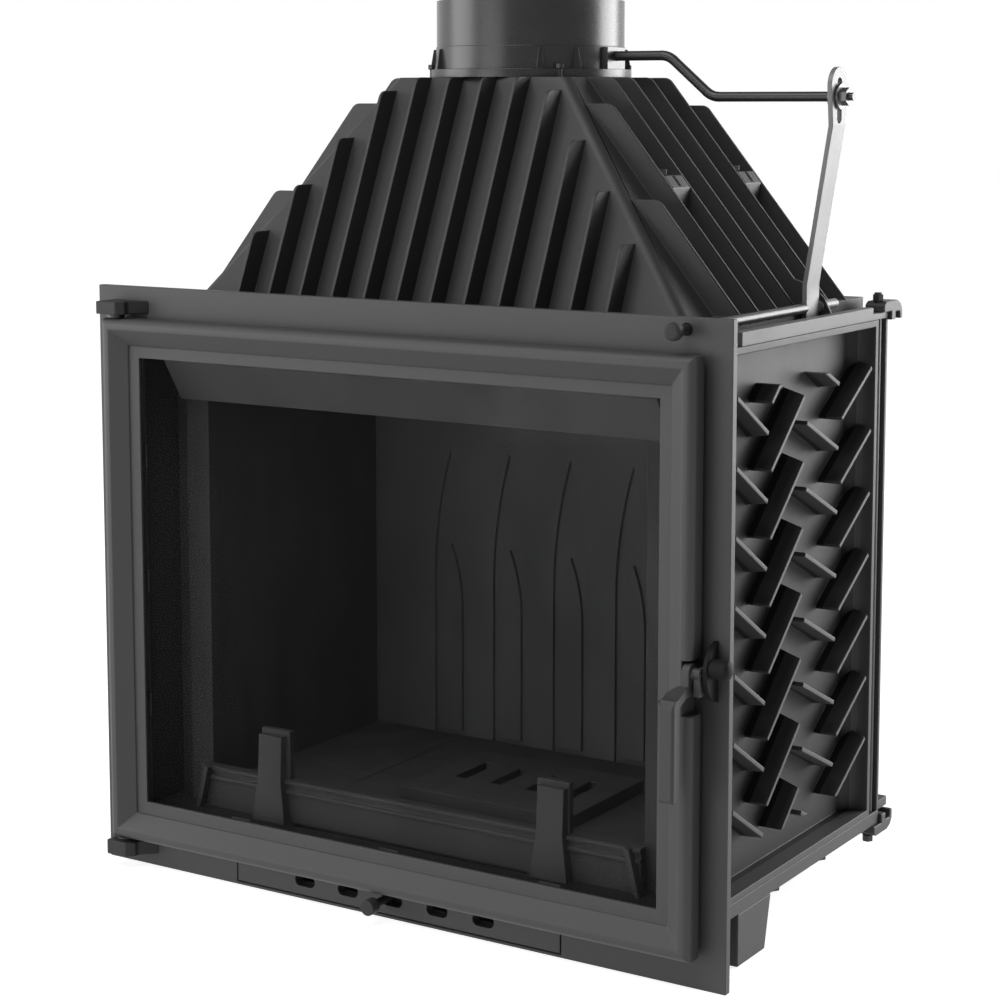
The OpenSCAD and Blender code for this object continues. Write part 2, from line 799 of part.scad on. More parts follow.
module rod_ear() difference() {
    prism_y(concat([[ear_x0, ear_z0], [ear_x0, ear_z1]], [for (s = ear_points_shares)
        [ear_x0 + (ear_x1 - ear_x0)*s[0], ear_z0 + (ear_z1 - ear_z0)*s[1]]]),
        ear_y - fin_t/2, ear_y + fin_t/2);
    rod_y(ear_y - fin_t, ear_y + fin_t, pull_x, pull_z, pull_r + gap);
}

module hood() seat() color(dark_iron) difference() {
    union() {
        block(-hood_flange_hw, hood_flange_hw, hood_flange_y0, frame_back, frame_top, hood_z0);
        hood_shape(0, hood_z0 - cut, hood_z1);
        hood_fins();
        rod_ear();
    }
    hood_shape(hood_t*sqrt(1 + side_slope*side_slope), frame_top - cut, hood_z1 - hood_t);
    rod_z(hood_z1 - hood_t - cut, hood_z1 + cut, 0, flue_y, hood_mouth_r);
    for (a = collar_bolt_angles)
        rod_z(hood_z1 - hood_t - cut, hood_z1 + cut, collar_bolt_ring_r*cos(a), flue_y
            + collar_bolt_ring_r*sin(a), collar_bolt_r + play);
}

// Small slotted tables between two fins, each with a web below it
module at_hood_clamps() both_sides() for (i = [-2, 2])
    translate([0, fin_middle_y + fin_pitch*i, 0]) children();

function hood_side_x(z) = hood_foot_hw - side_slope*(z - hood_z0);

module hood_clamps() seat() color(steel) at_hood_clamps() difference() {
    half = fin_pitch/2 - fin_t/2 - seat_gap;
    face_z = clamp_z - clamp_face_h;
    slot_end = clamp_z - clamp_slot_h;
    prism_y([[hood_side_x(clamp_z) + seat_gap, clamp_z], [hood_side_x(clamp_z) + clamp_edge, clamp_z],
        [hood_side_x(face_z) + clamp_edge, face_z], [hood_side_x(clamp_z - clamp_drop) + seat_gap,
        clamp_z - clamp_drop]], fin_pitch/2 - half, fin_pitch/2 + half);
    prism_y([[hood_side_x(clamp_z) + clamp_edge - clamp_slot_d, clamp_z + cut],
        [hood_side_x(clamp_z) + 2*clamp_edge, clamp_z + cut], [hood_side_x(slot_end) + 2*clamp_edge,
        slot_end], [hood_side_x(slot_end) + clamp_edge - clamp_slot_d, slot_end]],
        fin_pitch/2 - clamp_slot_w/2, fin_pitch/2 + clamp_slot_w/2);
    rod_z(clamp_z - clamp_t, clamp_z + cut, hood_side_x(clamp_z) + clamp_bolt_in, fin_pitch/2,
        clamp_bolt_r + play);
}

module hood_clamp_bolts() seat() color(steel) at_hood_clamps() {
    x = hood_side_x(clamp_z) + clamp_bolt_in;
    rod_z(clamp_z - clamp_t, clamp_z + cut, x, fin_pitch/2, clamp_bolt_r);
    hex(clamp_z, clamp_z + clamp_nut_t, x, fin_pitch/2, clamp_nut_r);
}

// Gusset between the spigot and its flange, thicker towards its foot
module gusset(z0, z1) intersection() {
    prism_y([[flue_r - cut, z0], [collar_flange_r - gusset_in, z0], [spigot_root_r + gusset_top_w, z1],
        [flue_r - cut, z1]], -gusset_foot_t/2, gusset_foot_t/2);
    prism_x([[-gusset_foot_t/2, z0], [gusset_foot_t/2, z0], [gusset_t/2, z1], [-gusset_t/2, z1]],
        flue_r - 2*cut, collar_flange_r);
}

// Flue collar: flange, spigot, corner gussets and the damper's bearing
module flue_collar() seat() color(iron) translate([0, flue_y, 0]) difference() {
    union() {
        rod_z(hood_z1, hood_z1 + collar_t, 0, 0, collar_flange_r);
        rod_z(hood_z1, collar_step_z, 0, 0, spigot_root_r);
        rod_z(hood_z1, collar_top, 0, 0, flue_r);
        for (a = collar_bolt_angles, side = [-1, 1]) rotate([0, 0, a + side*gusset_spread])
            gusset(hood_z1 + collar_t - cut, hood_z1 + collar_t + gusset_h);
        block(flue_bore_r + cut, bearing_x, -bearing_w/2, bearing_w/2, hood_z1 + cut, hood_z1
            + collar_t + bearing_h);
        rod_x(-bearing_x, -flue_bore_r - cut, 0, shaft_z, shaft_r*2);
    }
    rod_z(hood_z1 - cut, collar_top + cut, 0, 0, flue_bore_r);
    rod_x(-bearing_x - cut, bearing_x + cut, 0, shaft_z, shaft_r + play);
    for (a = collar_bolt_angles)
        rod_z(hood_z1 - cut, hood_z1 + collar_t + cut, collar_bolt_ring_r*cos(a),
            collar_bolt_ring_r*sin(a), collar_bolt_r + play);
}

module collar_bolts() seat() color(steel) for (a = collar_bolt_angles) {
    x = collar_bolt_ring_r*cos(a);
    y = flue_y + collar_bolt_ring_r*sin(a);
    rod_z(hood_z1 - hood_t, hood_z1 + collar_t + cut, x, y, collar_bolt_r);
    hex(hood_z1 + collar_t, hood_z1 + collar_t + collar_nut_t, x, y, collar_nut_r);
}

// Tie rods, and the claws that they pull together at the back corners
module tie_rods() seat() color(dark_iron) both_sides() rod_z(tie_z0, tie_z1, tie_x, tie_y, tie_r);

module claw(from_z, side) {
    points = [[0, 0], [0, claw_h*0.7], [claw_l*0.12, claw_h], [claw_l*0.72, claw_h],
        [claw_l*0.9, claw_h*0.7], [claw_l, claw_h*0.1], [claw_l, -claw_hook],
        [claw_l*0.88, -claw_hook], [claw_l*0.85, -claw_h*0.1], [claw_body_y + claw_body_l, -claw_h*0.1],
        [claw_body_y + claw_body_l, -claw_hook], [claw_body_y, -claw_hook], [claw_body_y, 0]];
    difference() {
        prism_x([for (p = points) [claw_y + p[0], from_z + side*p[1]]], tie_x - claw_hw, tie_x + claw_hw);
        rod_z(from_z - claw_h*2, from_z + claw_h*2, tie_x, tie_y, tie_hole_r);
    }
}

module corner_clamps() seat() color(dark_iron) both_sides() {
    claw(frame_top, 1);
    claw(base_bottom, -1);
}

module clamp_nuts() seat() color(steel) both_sides() {
    for (z = [frame_top + claw_h, base_bottom - claw_h - tie_nut_t]) difference() {
        hex(z, z + tie_nut_t, tie_x, tie_y, tie_nut_r);
        rod_z(z - cut, z + tie_nut_t + cut, tie_x, tie_y, tie_r + play);
    }
}

// Feet: an outer cheek and a front wall
module foot(outline, y_wall) {
    prism_x(outline, box_hw - foot_hollow, box_hw);
    block(box_hw - foot_w, box_hw - foot_hollow + cut, y_wall, y_wall + foot_hollow, 0, base_bottom);
}

module front_feet() seat() color(iron) both_sides()
    foot([[foot_y0, 0], [foot_y1, 0], [foot_y2, base_bottom], [foot_y0, base_bottom]], foot_y0);

module rear_feet() seat() color(iron) for (x = [-rear_foot_x, rear_foot_x - foot_w])
    block(x, x + foot_w, box_depth - foot_w, box_depth, 0, base_bottom);

module base_bolts() seat() color(steel) both_sides() for (s = base_bolt_y_shares) {
    rod_z(base_bottom - bolt_head_t/2, wall_foot, box_hw - base_bolt_in, base_bolt_y(s), bolt_r);
    hex(base_bottom - bolt_head_t, base_bottom, box_hw - base_bolt_in, base_bolt_y(s), bolt_head_r);
}

// Hinge brackets: an arm from the face plate with a wedge at its root
module hinge_arm_shape(z0, z1) difference() {
    union() {
        block(hinge_x - hinge_arm, hinge_x + hinge_arm - hinge_chamfer/2, -hinge_depth, 0, z0, z1);
        prism_z([[hinge_x, 0], [hinge_x, -hinge_depth], [hinge_x + hinge_arm - hinge_chamfer/2,
            -hinge_depth], [hinge_x + hinge_arm + hinge_chamfer/2, -hinge_depth + hinge_chamfer],
            [hinge_x + hinge_arm + hinge_chamfer/2, -hinge_root_w/2], [hinge_x + hinge_root_w, 0]],
            z0, z1);
    }
    rod_z(z0 - cut, z1 + cut, hinge_x, hinge_y, hinge_pin_r + play);
}

module hinge_bracket_upper() seat() color(iron)
    hinge_arm_shape(door_top + hinge_lift, door_top + hinge_lift + hinge_plate_t);

module hinge_bracket_lower() seat() color(iron)
    hinge_arm_shape(door_foot - hinge_lower_drop - hinge_lower_t, door_foot - hinge_lower_drop);

// Pins through the brackets into the door, each with the washer that keeps the door off its bracket
module hinge_pins() seat() color(steel) {
    rod_z(door_top - hinge_pin_in, door_top + hinge_lift + hinge_plate_t, hinge_x, hinge_y, hinge_pin_r);
    rod_z(door_top + seat_gap, door_top + hinge_lift, hinge_x, hinge_y, hinge_washer_r);
    rod_z(door_foot - hinge_lower_drop - hinge_lower_t, door_foot + hinge_pin_in, hinge_x, hinge_y,
        hinge_pin_r);
    rod_z(door_foot - hinge_lower_drop, door_foot - seat_gap, hinge_x, hinge_y, hinge_washer_r);
}

// Keeper: a rounded bracket on the plate, with the pin of its roller
module keeper_bracket() seat() color(iron) {
    r = (keeper_h*keeper_h/4 + keeper_d*keeper_d)/(2*keeper_d);
    intersection() {
        rod_x(keeper_x0, keeper_x1, r - keeper_d, pivot_z - keeper_drop, r);
        block(keeper_x0, keeper_x1, -keeper_d - cut, 0, pivot_z - keeper_h, pivot_z + keeper_h);
    }
    rod_x(claw_x0 - 2*play, keeper_x0 + cut, roller_y, roller_z, roller_pin_r);
}

module keeper_boss() seat() color(iron) {
    rod_x(keeper_x1, keeper_x1 + boss_l - boss_r/2, boss_y, boss_z, boss_r);
    translate([keeper_x1 + boss_l - boss_r/2, boss_y, boss_z]) rotate([0, 90, 0]) rotate_extrude()
        polygon(concat([[0, -cut], [boss_r, -cut]], [for (i = [0:6])
            [boss_r*cos(15*i), boss_r/2*sin(15*i)]]));
}

module keeper_roller() seat() color(steel) difference() {
    rod_x(claw_x0, claw_x1 + gap, roller_y, roller_z, roller_r);
    rod_x(claw_x0 - cut, claw_x1 + cut, roller_y, roller_z, roller_pin_r + play);
}

// Firebox lining
module side_lining() {
    block(lining_in, lining_in + lining_t, lining_front, rear_lining_y - gap, wall_foot, lining_top);
    for (s = [0.08, 0.5, 0.92]) {
        y = lining_front + (rear_lining_y - lining_front)*s;
        block(lining_in + lining_t - cut, wall_in, y - lining_rib_t/2, y + lining_rib_t/2, wall_foot,
            lining_top);
    }
    block(lining_in - baffle_ledge_w, lining_in + cut, baffle_front, rear_lining_y - gap,
        baffle_z - baffle_ledge_t, baffle_z);
}

module side_lining_right() seat() color(black) side_lining();

module side_lining_left() seat() color(black) mirror([1, 0, 0]) side_lining();

function lancet_points(x, w, rise, z0, z1) =
    let (r = (rise*rise + w*w/4)/w, a = asin(rise/r))
    concat([[x - w/2, z0]], arc(x - w/2 + r, z1 - rise, r, 180, 180 - a, 8),
        arc(x + w/2 - r, z1 - rise, r, a, 0, 8), [[x + w/2, z0]]);

module rear_lining() seat() color(black) difference() {
    union() {
        block(-lining_in - lining_t, lining_in + lining_t, rear_lining_y, lining_back, wall_foot,
            lining_top);
        for (x = [-1, 0, 1])
            block(x*lining_in - lining_rib_t/2, x*lining_in + lining_rib_t/2, lining_back - cut,
                box_depth, wall_foot, lining_top);
    }
    for (i = [-2:2]) difference() {
        prism_y(lancet_points(i*lancet_pitch, lancet_w, lancet_rise, lancet_z0, lancet_z1),
            rear_lining_y - cut, rear_lining_y + lancet_depth);
        prism_y(lancet_points(i*lancet_pitch, lancet_w - 2*lancet_rim, lancet_rise/2,
            lancet_z0 + lancet_rim, lancet_z1 - lancet_drop), rear_lining_y - 2*cut,
            rear_lining_y + 2*lancet_depth);
    }
}

module floor_plates() seat() color(black) difference() {
    block(-lining_in + gap, lining_in - gap, floor_front, rear_lining_y - gap, floor_z - floor_t, floor_z);
    block(floor_seam_x - floor_seam/2, floor_seam_x + floor_seam/2, floor_front - cut, rear_lining_y,
        floor_z - floor_t - cut, floor_z + cut);
    block(hatch_x0, hatch_x1, hatch_y0, hatch_y1, floor_z - floor_t - cut, floor_z + cut);
}

// Plates above the fire: a slanting strip behind the face plate and two level baffles
module air_deflector() seat() color(black) {
    prism_x([[plate_t, deflector_z1], [deflector_y, deflector_z0], [deflector_y - deflector_t,
        deflector_z0], [plate_t, deflector_z1 - 2*deflector_t]], -deflector_hw, deflector_hw);
    block(-deflector_hw, deflector_hw, plate_t, plate_t + deflector_t, deflector_z1 - cut, deflector_z1
        + deflector_tab_h);
}

module baffle_lower() seat() color(black) block(-lining_in + gap, lining_in - gap, baffle_front,
    rear_lining_y - gap, baffle_z, baffle_z + baffle_t);

module baffle_upper() seat() color(black) block(-lining_in - lining_t, lining_in + lining_t,
    baffle_upper_front, baffle_upper_back, lining_top, lining_top + baffle_t);

module obround(y0, y1, x, z, w, h) {
    block(x - w/2 + h/2, x + w/2 - h/2, y0, y1, z - h/2, z + h/2);
    for (s = [-1, 1]) rod_y(y0, y1, x + s*(w/2 - h/2), z, h/2);
}

// Air panel, with the rails that its slide runs in, and tabs behind the face plate
module air_panel() seat() color(iron) difference() {
    union() {
        block(-panel_hw, panel_hw, 0, plate_t, panel_z0, panel_z1);
        both_sides() block(panel_hw - panel_tab_w, panel_hw + panel_tab_w, plate_t, plate_t
            + panel_tab_t, panel_z0, panel_z1 + panel_tab_w/2);
        prism_x([[plate_t, panel_z0], [slide_y0 + slide_t + seat_gap + lip_t, panel_z0],
            [slide_y0 + slide_t + seat_gap + lip_t, slide_z0 + lip_h], [slide_y0 + slide_t + seat_gap,
            slide_z0 + lip_h], [slide_y0 + slide_t + seat_gap, slide_z0 - seat_gap], [plate_t, slide_z0
            - seat_gap]], -panel_hw + panel_tab_w + gap, panel_hw - panel_tab_w - gap);
        block(-panel_hw + panel_tab_w/2, panel_hw - panel_tab_w/2, plate_t - cut, plate_t + cut/2,
            panel_z0, slide_z0 - seat_gap);
    }
    for (i = [-slots_each_side:slots_each_side])
        obround(-cut, plate_t + 2*cut, i*slot_pitch, slot_z, slot_w, slot_h);
    both_sides() rod_y(-cut, plate_t + panel_tab_t + cut, panel_hw + panel_tab_w/2, panel_z1
        + panel_tab_w/4, panel_screw_r + play);
}

module air_panel_screws() seat() color(steel) both_sides() {
    rod_y(plate_t, plate_t + panel_tab_t + cut, panel_hw + panel_tab_w/2, panel_z1 + panel_tab_w/4,
        panel_screw_r);
    rod_y(plate_t + panel_tab_t, plate_t + panel_tab_t + panel_screw_head_t, panel_hw + panel_tab_w/2,
        panel_z1 + panel_tab_w/4, panel_screw_head_r);
}

module air_slide() seat() color(steel) difference() {
    block(-slide_hw, slide_hw, slide_y0, slide_y0 + slide_t, slide_z0, slide_z1);
    for (i = [-slots_each_side:slots_each_side])
        obround(slide_y0 - cut, slide_y0 + slide_t + cut, i*slot_pitch, slot_z, slot_w, slot_h);
}

module air_knob() seat() color(steel) {
    rod_y(air_knob_y0, air_knob_y1, air_knob_x, slot_z, air_knob_r);
    rod_y(air_knob_y1 - cut, slide_y0 + slide_t + cut/2, air_knob_x, slot_z, air_stem_r);
    block(air_knob_x - 2*air_stem_r, air_knob_x + slot_w, slide_y0 + slide_t, slide_y0 + slide_t
        + air_foot_t, slide_z0 + lip_h + gap, slide_z1);
}

// A square frame round the door's middle, from the door's edge inwards
module door_ring(inset, width, y0, y1) difference() {
    door_slab(inset, y0, y1);
    door_slab(inset + width, y0 - cut, y1 + cut);
}

module door_slab(inset, y0, y1)
    block(-door_hw + inset, door_hw - inset, y0, y1, door_foot + inset, door_top - inset);

module bevel_recess() {
    spread = (bevel_w/bevel_sink)*cut;
    intersection() {
        prism_z([[-door_hw + band_w - spread, door_front - cut], [door_hw - band_w + spread,
            door_front - cut], [door_hw - step_w, sink_y], [-door_hw + step_w, sink_y]], door_foot,
            door_top);
        prism_x([[door_front - cut, door_foot + band_w - spread], [sink_y, door_foot + step_w],
            [sink_y, door_top - step_w], [door_front - cut, door_top - band_w + spread]],
            -door_hw, door_hw);
    }
}

// Places of the clips along the glass, each turned so that its length runs across the edge
module at_glass_clips() {
    glass_hw = door_hw - glass_in;
    glass_hh = door_h/2 - glass_in;
    for (s = clip_across_share, side = [-1, 1])
        translate([s*glass_hw, 0, door_foot + door_h/2 + side*glass_hh]) rotate([0, side > 0 ? 0 : 180, 0])
            children();
    for (s = clip_up_share, side = [-1, 1])
        translate([side*glass_hw, 0, door_foot + door_h/2 + s*glass_hh]) rotate([0, side*90, 0])
            children();
}

module door_frame() seat() color(iron) difference() {
    door_slab(0, door_front, door_rear);
    bevel_recess();
    door_slab(step_w, door_front - cut, sink_y + band_drop);
    door_ring(-cut, rebate_w + cut, door_rear - rebate_d, door_rear + cut);
    door_slab(sight_in, door_front - cut, door_rear + cut);
    door_slab(glass_in - gap, gasket_y, door_rear + cut);
    door_ring(rope_in, rope_w, door_rear - rope_depth, door_rear + cut);
    at_glass_clips() {
        block(-clip_w/2 - gap, clip_w/2 + gap, glass_back, door_rear + cut, -clip_over, clip_out + gap);
        rod_y(glass_back - clip_screw_l, door_rear, 0, clip_out - clip_head_r - gap, clip_screw_r + play);
    }
    difference() {
        block(-door_hw - cut, hinge_x, hinge_y, door_rear + cut, door_foot - cut, door_top + cut);
        rod_z(door_foot - cut, door_top + cut, hinge_x, hinge_y, hinge_round_r);
    }
    rod_z(door_top - hinge_pin_in - gap, door_top + cut, hinge_x, hinge_y, hinge_pin_r + play);
    rod_z(door_foot - cut, door_foot + hinge_pin_in + gap, hinge_x, hinge_y, hinge_pin_r + play);
    block(hub_notch_x, door_hw + cut, door_front - cut, door_rear + cut, pivot_z - hub_notch_drop,
        pivot_z + hub_r + hub_notch_rise);
    rod_x(hub_notch_x - pin_in_frame, door_hw + cut, pivot_y, pivot_z, pin_r + play);
}

module glass_gasket() seat() color(black) door_ring(glass_in, glass_lap, gasket_y, glass_y);

module door_glass() seat() color("#1a1c1d", 0.6) door_slab(glass_in, glass_y, glass_back);

module glass_clips() seat() color(steel) at_glass_clips() difference() {
    block(-clip_w/2, clip_w/2, glass_back, glass_back + clip_t, -clip_over, clip_out);
    rod_y(glass_back - cut, glass_back + clip_t + cut, 0, clip_out - clip_head_r - gap, clip_screw_r
        + play);
}

module clip_screws() seat() color(steel) at_glass_clips() {
    rod_y(glass_back - clip_screw_l + gap, glass_back + clip_t + cut/2, 0, clip_out - clip_head_r - gap,
        clip_screw_r);
    rod_y(glass_back + clip_t, glass_back + clip_t + clip_head_t, 0, clip_out - clip_head_r - gap,
        clip_head_r);
}

module door_rope() seat() color("#3a3936")
    door_ring(rope_in + rope_play, rope_w - 2*rope_play, door_rear - rope_depth, -seat_gap);

module handle_pin() seat() color(steel)
    rod_x(hub_notch_x - pin_in_frame + gap, claw_x1, pivot_y, pivot_z, pin_r);

// Handle: hub in the door's notch, arm and grip in front, latch claw outside the door's edge
module door_handle() seat() color(iron) difference() {
    union() {
        rod_x(hub_x0, door_hw, pivot_y, pivot_z, hub_r);
        rod_x(hub_x0, claw_x0 + cut, pivot_y, pivot_z, claw_hub_r);
        rod_x(claw_x0, claw_x1, pivot_y, pivot_z, claw_hub_r);
        prism_x([[pivot_y - hub_r, pivot_z], [pivot_y + hub_r, pivot_z], [pivot_y + hub_r/2, arm_z0],
            [arm_wide_y - cut, arm_z0], [arm_wide_y - cut, arm_z1], [pivot_y - hub_r - gap, arm_z1]],
            hub_x0, door_hw);
        arm();
        grip();
        intersection() {
            difference() {
                rod_x(claw_x0, claw_x1, pivot_y, pivot_z, claw_r1);
                rod_x(claw_x0 - cut, claw_x1 + cut, pivot_y, pivot_z, claw_r0);
            }
            prism_x([[pivot_y - claw_web/2, roller_z - roller_r - gap],
                [pivot_y + 2*claw_r1, roller_z - roller_r - gap],
                [pivot_y + 2*claw_r1, pivot_z - 2*claw_r1], [pivot_y - claw_web/2, pivot_z - 2*claw_r1]],
                claw_x0, claw_x1);
        }
        block(claw_x0, claw_x1, pivot_y - claw_web/2, pivot_y + claw_web/2, pivot_z - claw_r1 + play,
            pivot_z - claw_hub_r/2);
    }
    rod_x(hub_x0 - cut, claw_x1 + cut, pivot_y, pivot_z, pin_r + play);
}

module arm() intersection() {
    prism_x([[grip_y0, grip_z1 - grip_round], [grip_y0 + grip_round/4, grip_z1],
        [grip_y0 + arm_run, arm_z1], [arm_wide_y, arm_z1], [arm_wide_y, arm_z0],
        [grip_y1 + arm_under, arm_z0], [grip_y1, arm_z0 - arm_under/2],
        [grip_y0, arm_z0 - arm_under/2]], door_hw - grip_w, door_hw);
    prism_z([[door_hw - grip_w, grip_y0 + grip_round], [door_hw - grip_w + grip_round/2, grip_y0],
        [door_hw - grip_round/2, grip_y0], [door_hw, grip_y0 + grip_round/2], [door_hw, arm_wide_y],
        [hub_x0, arm_wide_y], [door_hw - grip_w, arm_wide_y - arm_taper]], grip_z0, arm_z1 + cut);
}

module grip() {
    y0 = grip_y0;
    y1 = grip_y1;
    intersection() {
        prism_x([[y0 + grip_round, grip_z0], [y0, grip_z0 + grip_round], [y0, grip_z1 - grip_round],
            [y0 + grip_round, grip_z1 + grip_round], [y1, grip_z1 + grip_round], [y1, grip_z0 + grip_round],
            [y1 - grip_round, grip_z0]], door_hw - grip_w, door_hw);
        prism_z([[door_hw - grip_w + grip_round/2, y0], [door_hw - grip_round/2, y0],
            [door_hw, y0 + grip_round/2], [door_hw, y1], [door_hw - grip_w, y1],
            [door_hw - grip_w, y0 + grip_round/2]], grip_z0 - cut, grip_z1 + 2*grip_round);
    }
}

// Pull rod with its knob; the lever's plate is welded to its end
module pull_rod() seat() color(steel)
    rod_y(knob_y, lever_y - lever_w/2, pull_x, pull_z, pull_r);

module pull_knob() seat() color(dark_iron) {
    translate([pull_x, knob_y, pull_z]) rotate([90, 0, 0]) rotate_extrude() polygon(concat([[0, 0],
        [knob_neck_r, 0], [knob_neck_r, knob_neck_l/2], [knob_r, knob_neck_l]], arc(knob_r - knob_l/4,
        knob_l - knob_l/4, knob_l/4, 0, 90, 5), [[0, knob_l]]));
}

module damper_lever() seat() color("#77797b") {
    intersection() {
        prism_y([[lever_foot_x, lever_foot_z], [lever_foot_x + lever_t, lever_foot_z],
            [lever_foot_x + lever_t, lever_bend_z0], [lever_head_x + lever_t, lever_bend_z1],
            [lever_head_x + lever_t, lever_head_z + 2*lever_head_r], [lever_head_x, lever_head_z
            + 2*lever_head_r], [lever_head_x, lever_bend_z1], [lever_foot_x, lever_bend_z0]],
            lever_y - 2*lever_head_r, lever_y + 2*lever_head_r);
        difference() {
            union() {
                prism_x(concat([[lever_y - lever_w/2, lever_foot_z], [lever_y + lever_w/2, lever_foot_z],
                    [lever_y + lever_w/2, lever_bend_z1], [lever_y + lever_head_r, lever_head_z]],
                    arc(lever_y, lever_head_z, lever_head_r, 0, 180, 16), [[lever_y - lever_w/2,
                    lever_bend_z1]]), lever_foot_x - cut, lever_head_x + lever_t + cut);
            }
            block(0, plate_w, lever_y - lever_slot_r, lever_y + lever_slot_r, lever_slot_z0
                + lever_slot_r, lever_slot_z1);
            rod_x(0, plate_w, lever_y, lever_slot_z0 + lever_slot_r, lever_slot_r);
            rod_x(0, plate_w, lever_y, lever_slot_z1, lever_slot_r);
        }
    }
    rod_y(lever_y + lever_w/2 - cut, pull_tail_y, pull_x, pull_z, pull_r);
}

// Damper shaft, bent to a crank beside the collar, with the blade on it inside the flue
module shaft_bend(x, z, side) translate([x, flue_y, z]) rotate([90, 0, 0])
    rotate([0, 0, side > 0 ? 90 - crank_angle : 270 - crank_angle])
    rotate_extrude(angle = crank_angle) translate([crank_r, 0]) circle(r = shaft_r + bend_swell);

module damper_shaft() seat() color(steel) {
    bend_dx = crank_r*sin(crank_angle);
    bend_dz = crank_r*(1 - cos(crank_angle));
    difference() {
        rod_x(shaft_left_x, crank_x0 + cut, flue_y, shaft_z, shaft_r);
        block(-blade_r, blade_r, flue_y - shaft_r, flue_y + shaft_r, shaft_z + blade_rise, shaft_z
            + 2*shaft_r);
        for (s = [-1, 1])
            rod_z(shaft_z - shaft_r - cut, shaft_z + shaft_r, s*blade_bolt_x, flue_y, blade_bolt_r + play);
    }
    shaft_bend(crank_x0, shaft_z - crank_r, 1);
    translate([crank_x0 + bend_dx, flue_y, shaft_z - bend_dz]) rotate([0, 90 + crank_angle, 0])
        translate([0, 0, -cut]) cylinder(h = crank_slant + 2*cut, r = shaft_r);
    shaft_bend(crank_x1, crank_z + crank_r, -1);
    rod_x(crank_x1 - cut, lever_head_x - washer_t - gap, flue_y, crank_z, shaft_r);
    rod_x(lever_head_x - 2*washer_t, shaft_end_x, flue_y, crank_z, end_r);
}

module shaft_nuts() seat() color(steel) difference() {
    union() {
        rod_x(lever_head_x - washer_t - gap, lever_head_x - gap, flue_y, crank_z, washer_r);
        rod_x(lever_head_x + lever_t + gap, lever_head_x + lever_t + gap + washer_t, flue_y, crank_z,
            washer_r);
        translate([lever_head_x + lever_t + gap + washer_t, flue_y, crank_z]) rotate([0, 90, 0])
            cylinder(h = nut_t, r = nut_r, $fn = 6);
    }
    rod_x(lever_foot_x, plate_w, flue_y, crank_z, end_r + play);
}

module damper_blade() seat() color(dark_iron) difference() {
    rod_z(shaft_z + blade_rise, shaft_z + blade_rise + blade_t, 0, flue_y, blade_r);
    for (s = [-1, 1])
        rod_z(shaft_z, shaft_z + 2*blade_rise + blade_t, s*blade_bolt_x, flue_y, blade_bolt_r + play);
}

module blade_bolts() seat() color(steel) for (s = [-1, 1]) {
    rod_z(shaft_z - shaft_r, shaft_z + blade_rise + blade_t + cut, s*blade_bolt_x, flue_y, blade_bolt_r);
    hex(shaft_z + blade_rise + blade_t, shaft_z + blade_rise + blade_t + blade_bolt_head_t,
        s*blade_bolt_x, flue_y, blade_bolt_head_r);
}

// Grate, ash pan and log guard
module grate() seat() color(dark_iron) difference() {
    union() {
        block(grate_x0, grate_x1, grate_y0, grate_y1, floor_z + play, floor_z + grate_rise);
        block(hatch_x0 + pan_gap, hatch_x1 - pan_gap, hatch_y0 + pan_gap, hatch_y1 - pan_gap, floor_z
            - floor_t/2, floor_z + grate_rise - cut);
    }
    block(hatch_x0 + pan_gap + grate_wall, hatch_x1 - pan_gap - grate_wall, hatch_y0 + pan_gap
        + grate_wall, hatch_y1 - pan_gap - grate_wall, floor_z - floor_t, floor_z + grate_rise
        - grate_wall);
    bars = floor((hatch_x1 - hatch_x0)/grate_bar_pitch);
    for (i = [0:bars - 1]) {
        x = grate_x + (i - (bars - 1)/2)*grate_bar_pitch;
        block(x - grate_slot_w/2, x + grate_slot_w/2, grate_slot_y - grate_slot_l/2, grate_slot_y
            + grate_slot_l/2, floor_z, floor_z + grate_rise + cut);
    }
}

module ash_pan() seat() color(dark_iron) difference() {
    block(hatch_x0 + pan_gap, hatch_x1 - pan_gap, hatch_y0 + pan_gap, hatch_y1 - pan_gap, well_floor
        + well_t + play, pan_top - pan_gap);
    block(hatch_x0 + pan_gap + pan_t, hatch_x1 - pan_gap - pan_t, hatch_y0 + pan_gap + pan_t, hatch_y1
        - pan_gap - pan_t, well_floor + well_t + pan_t, pan_top);
}

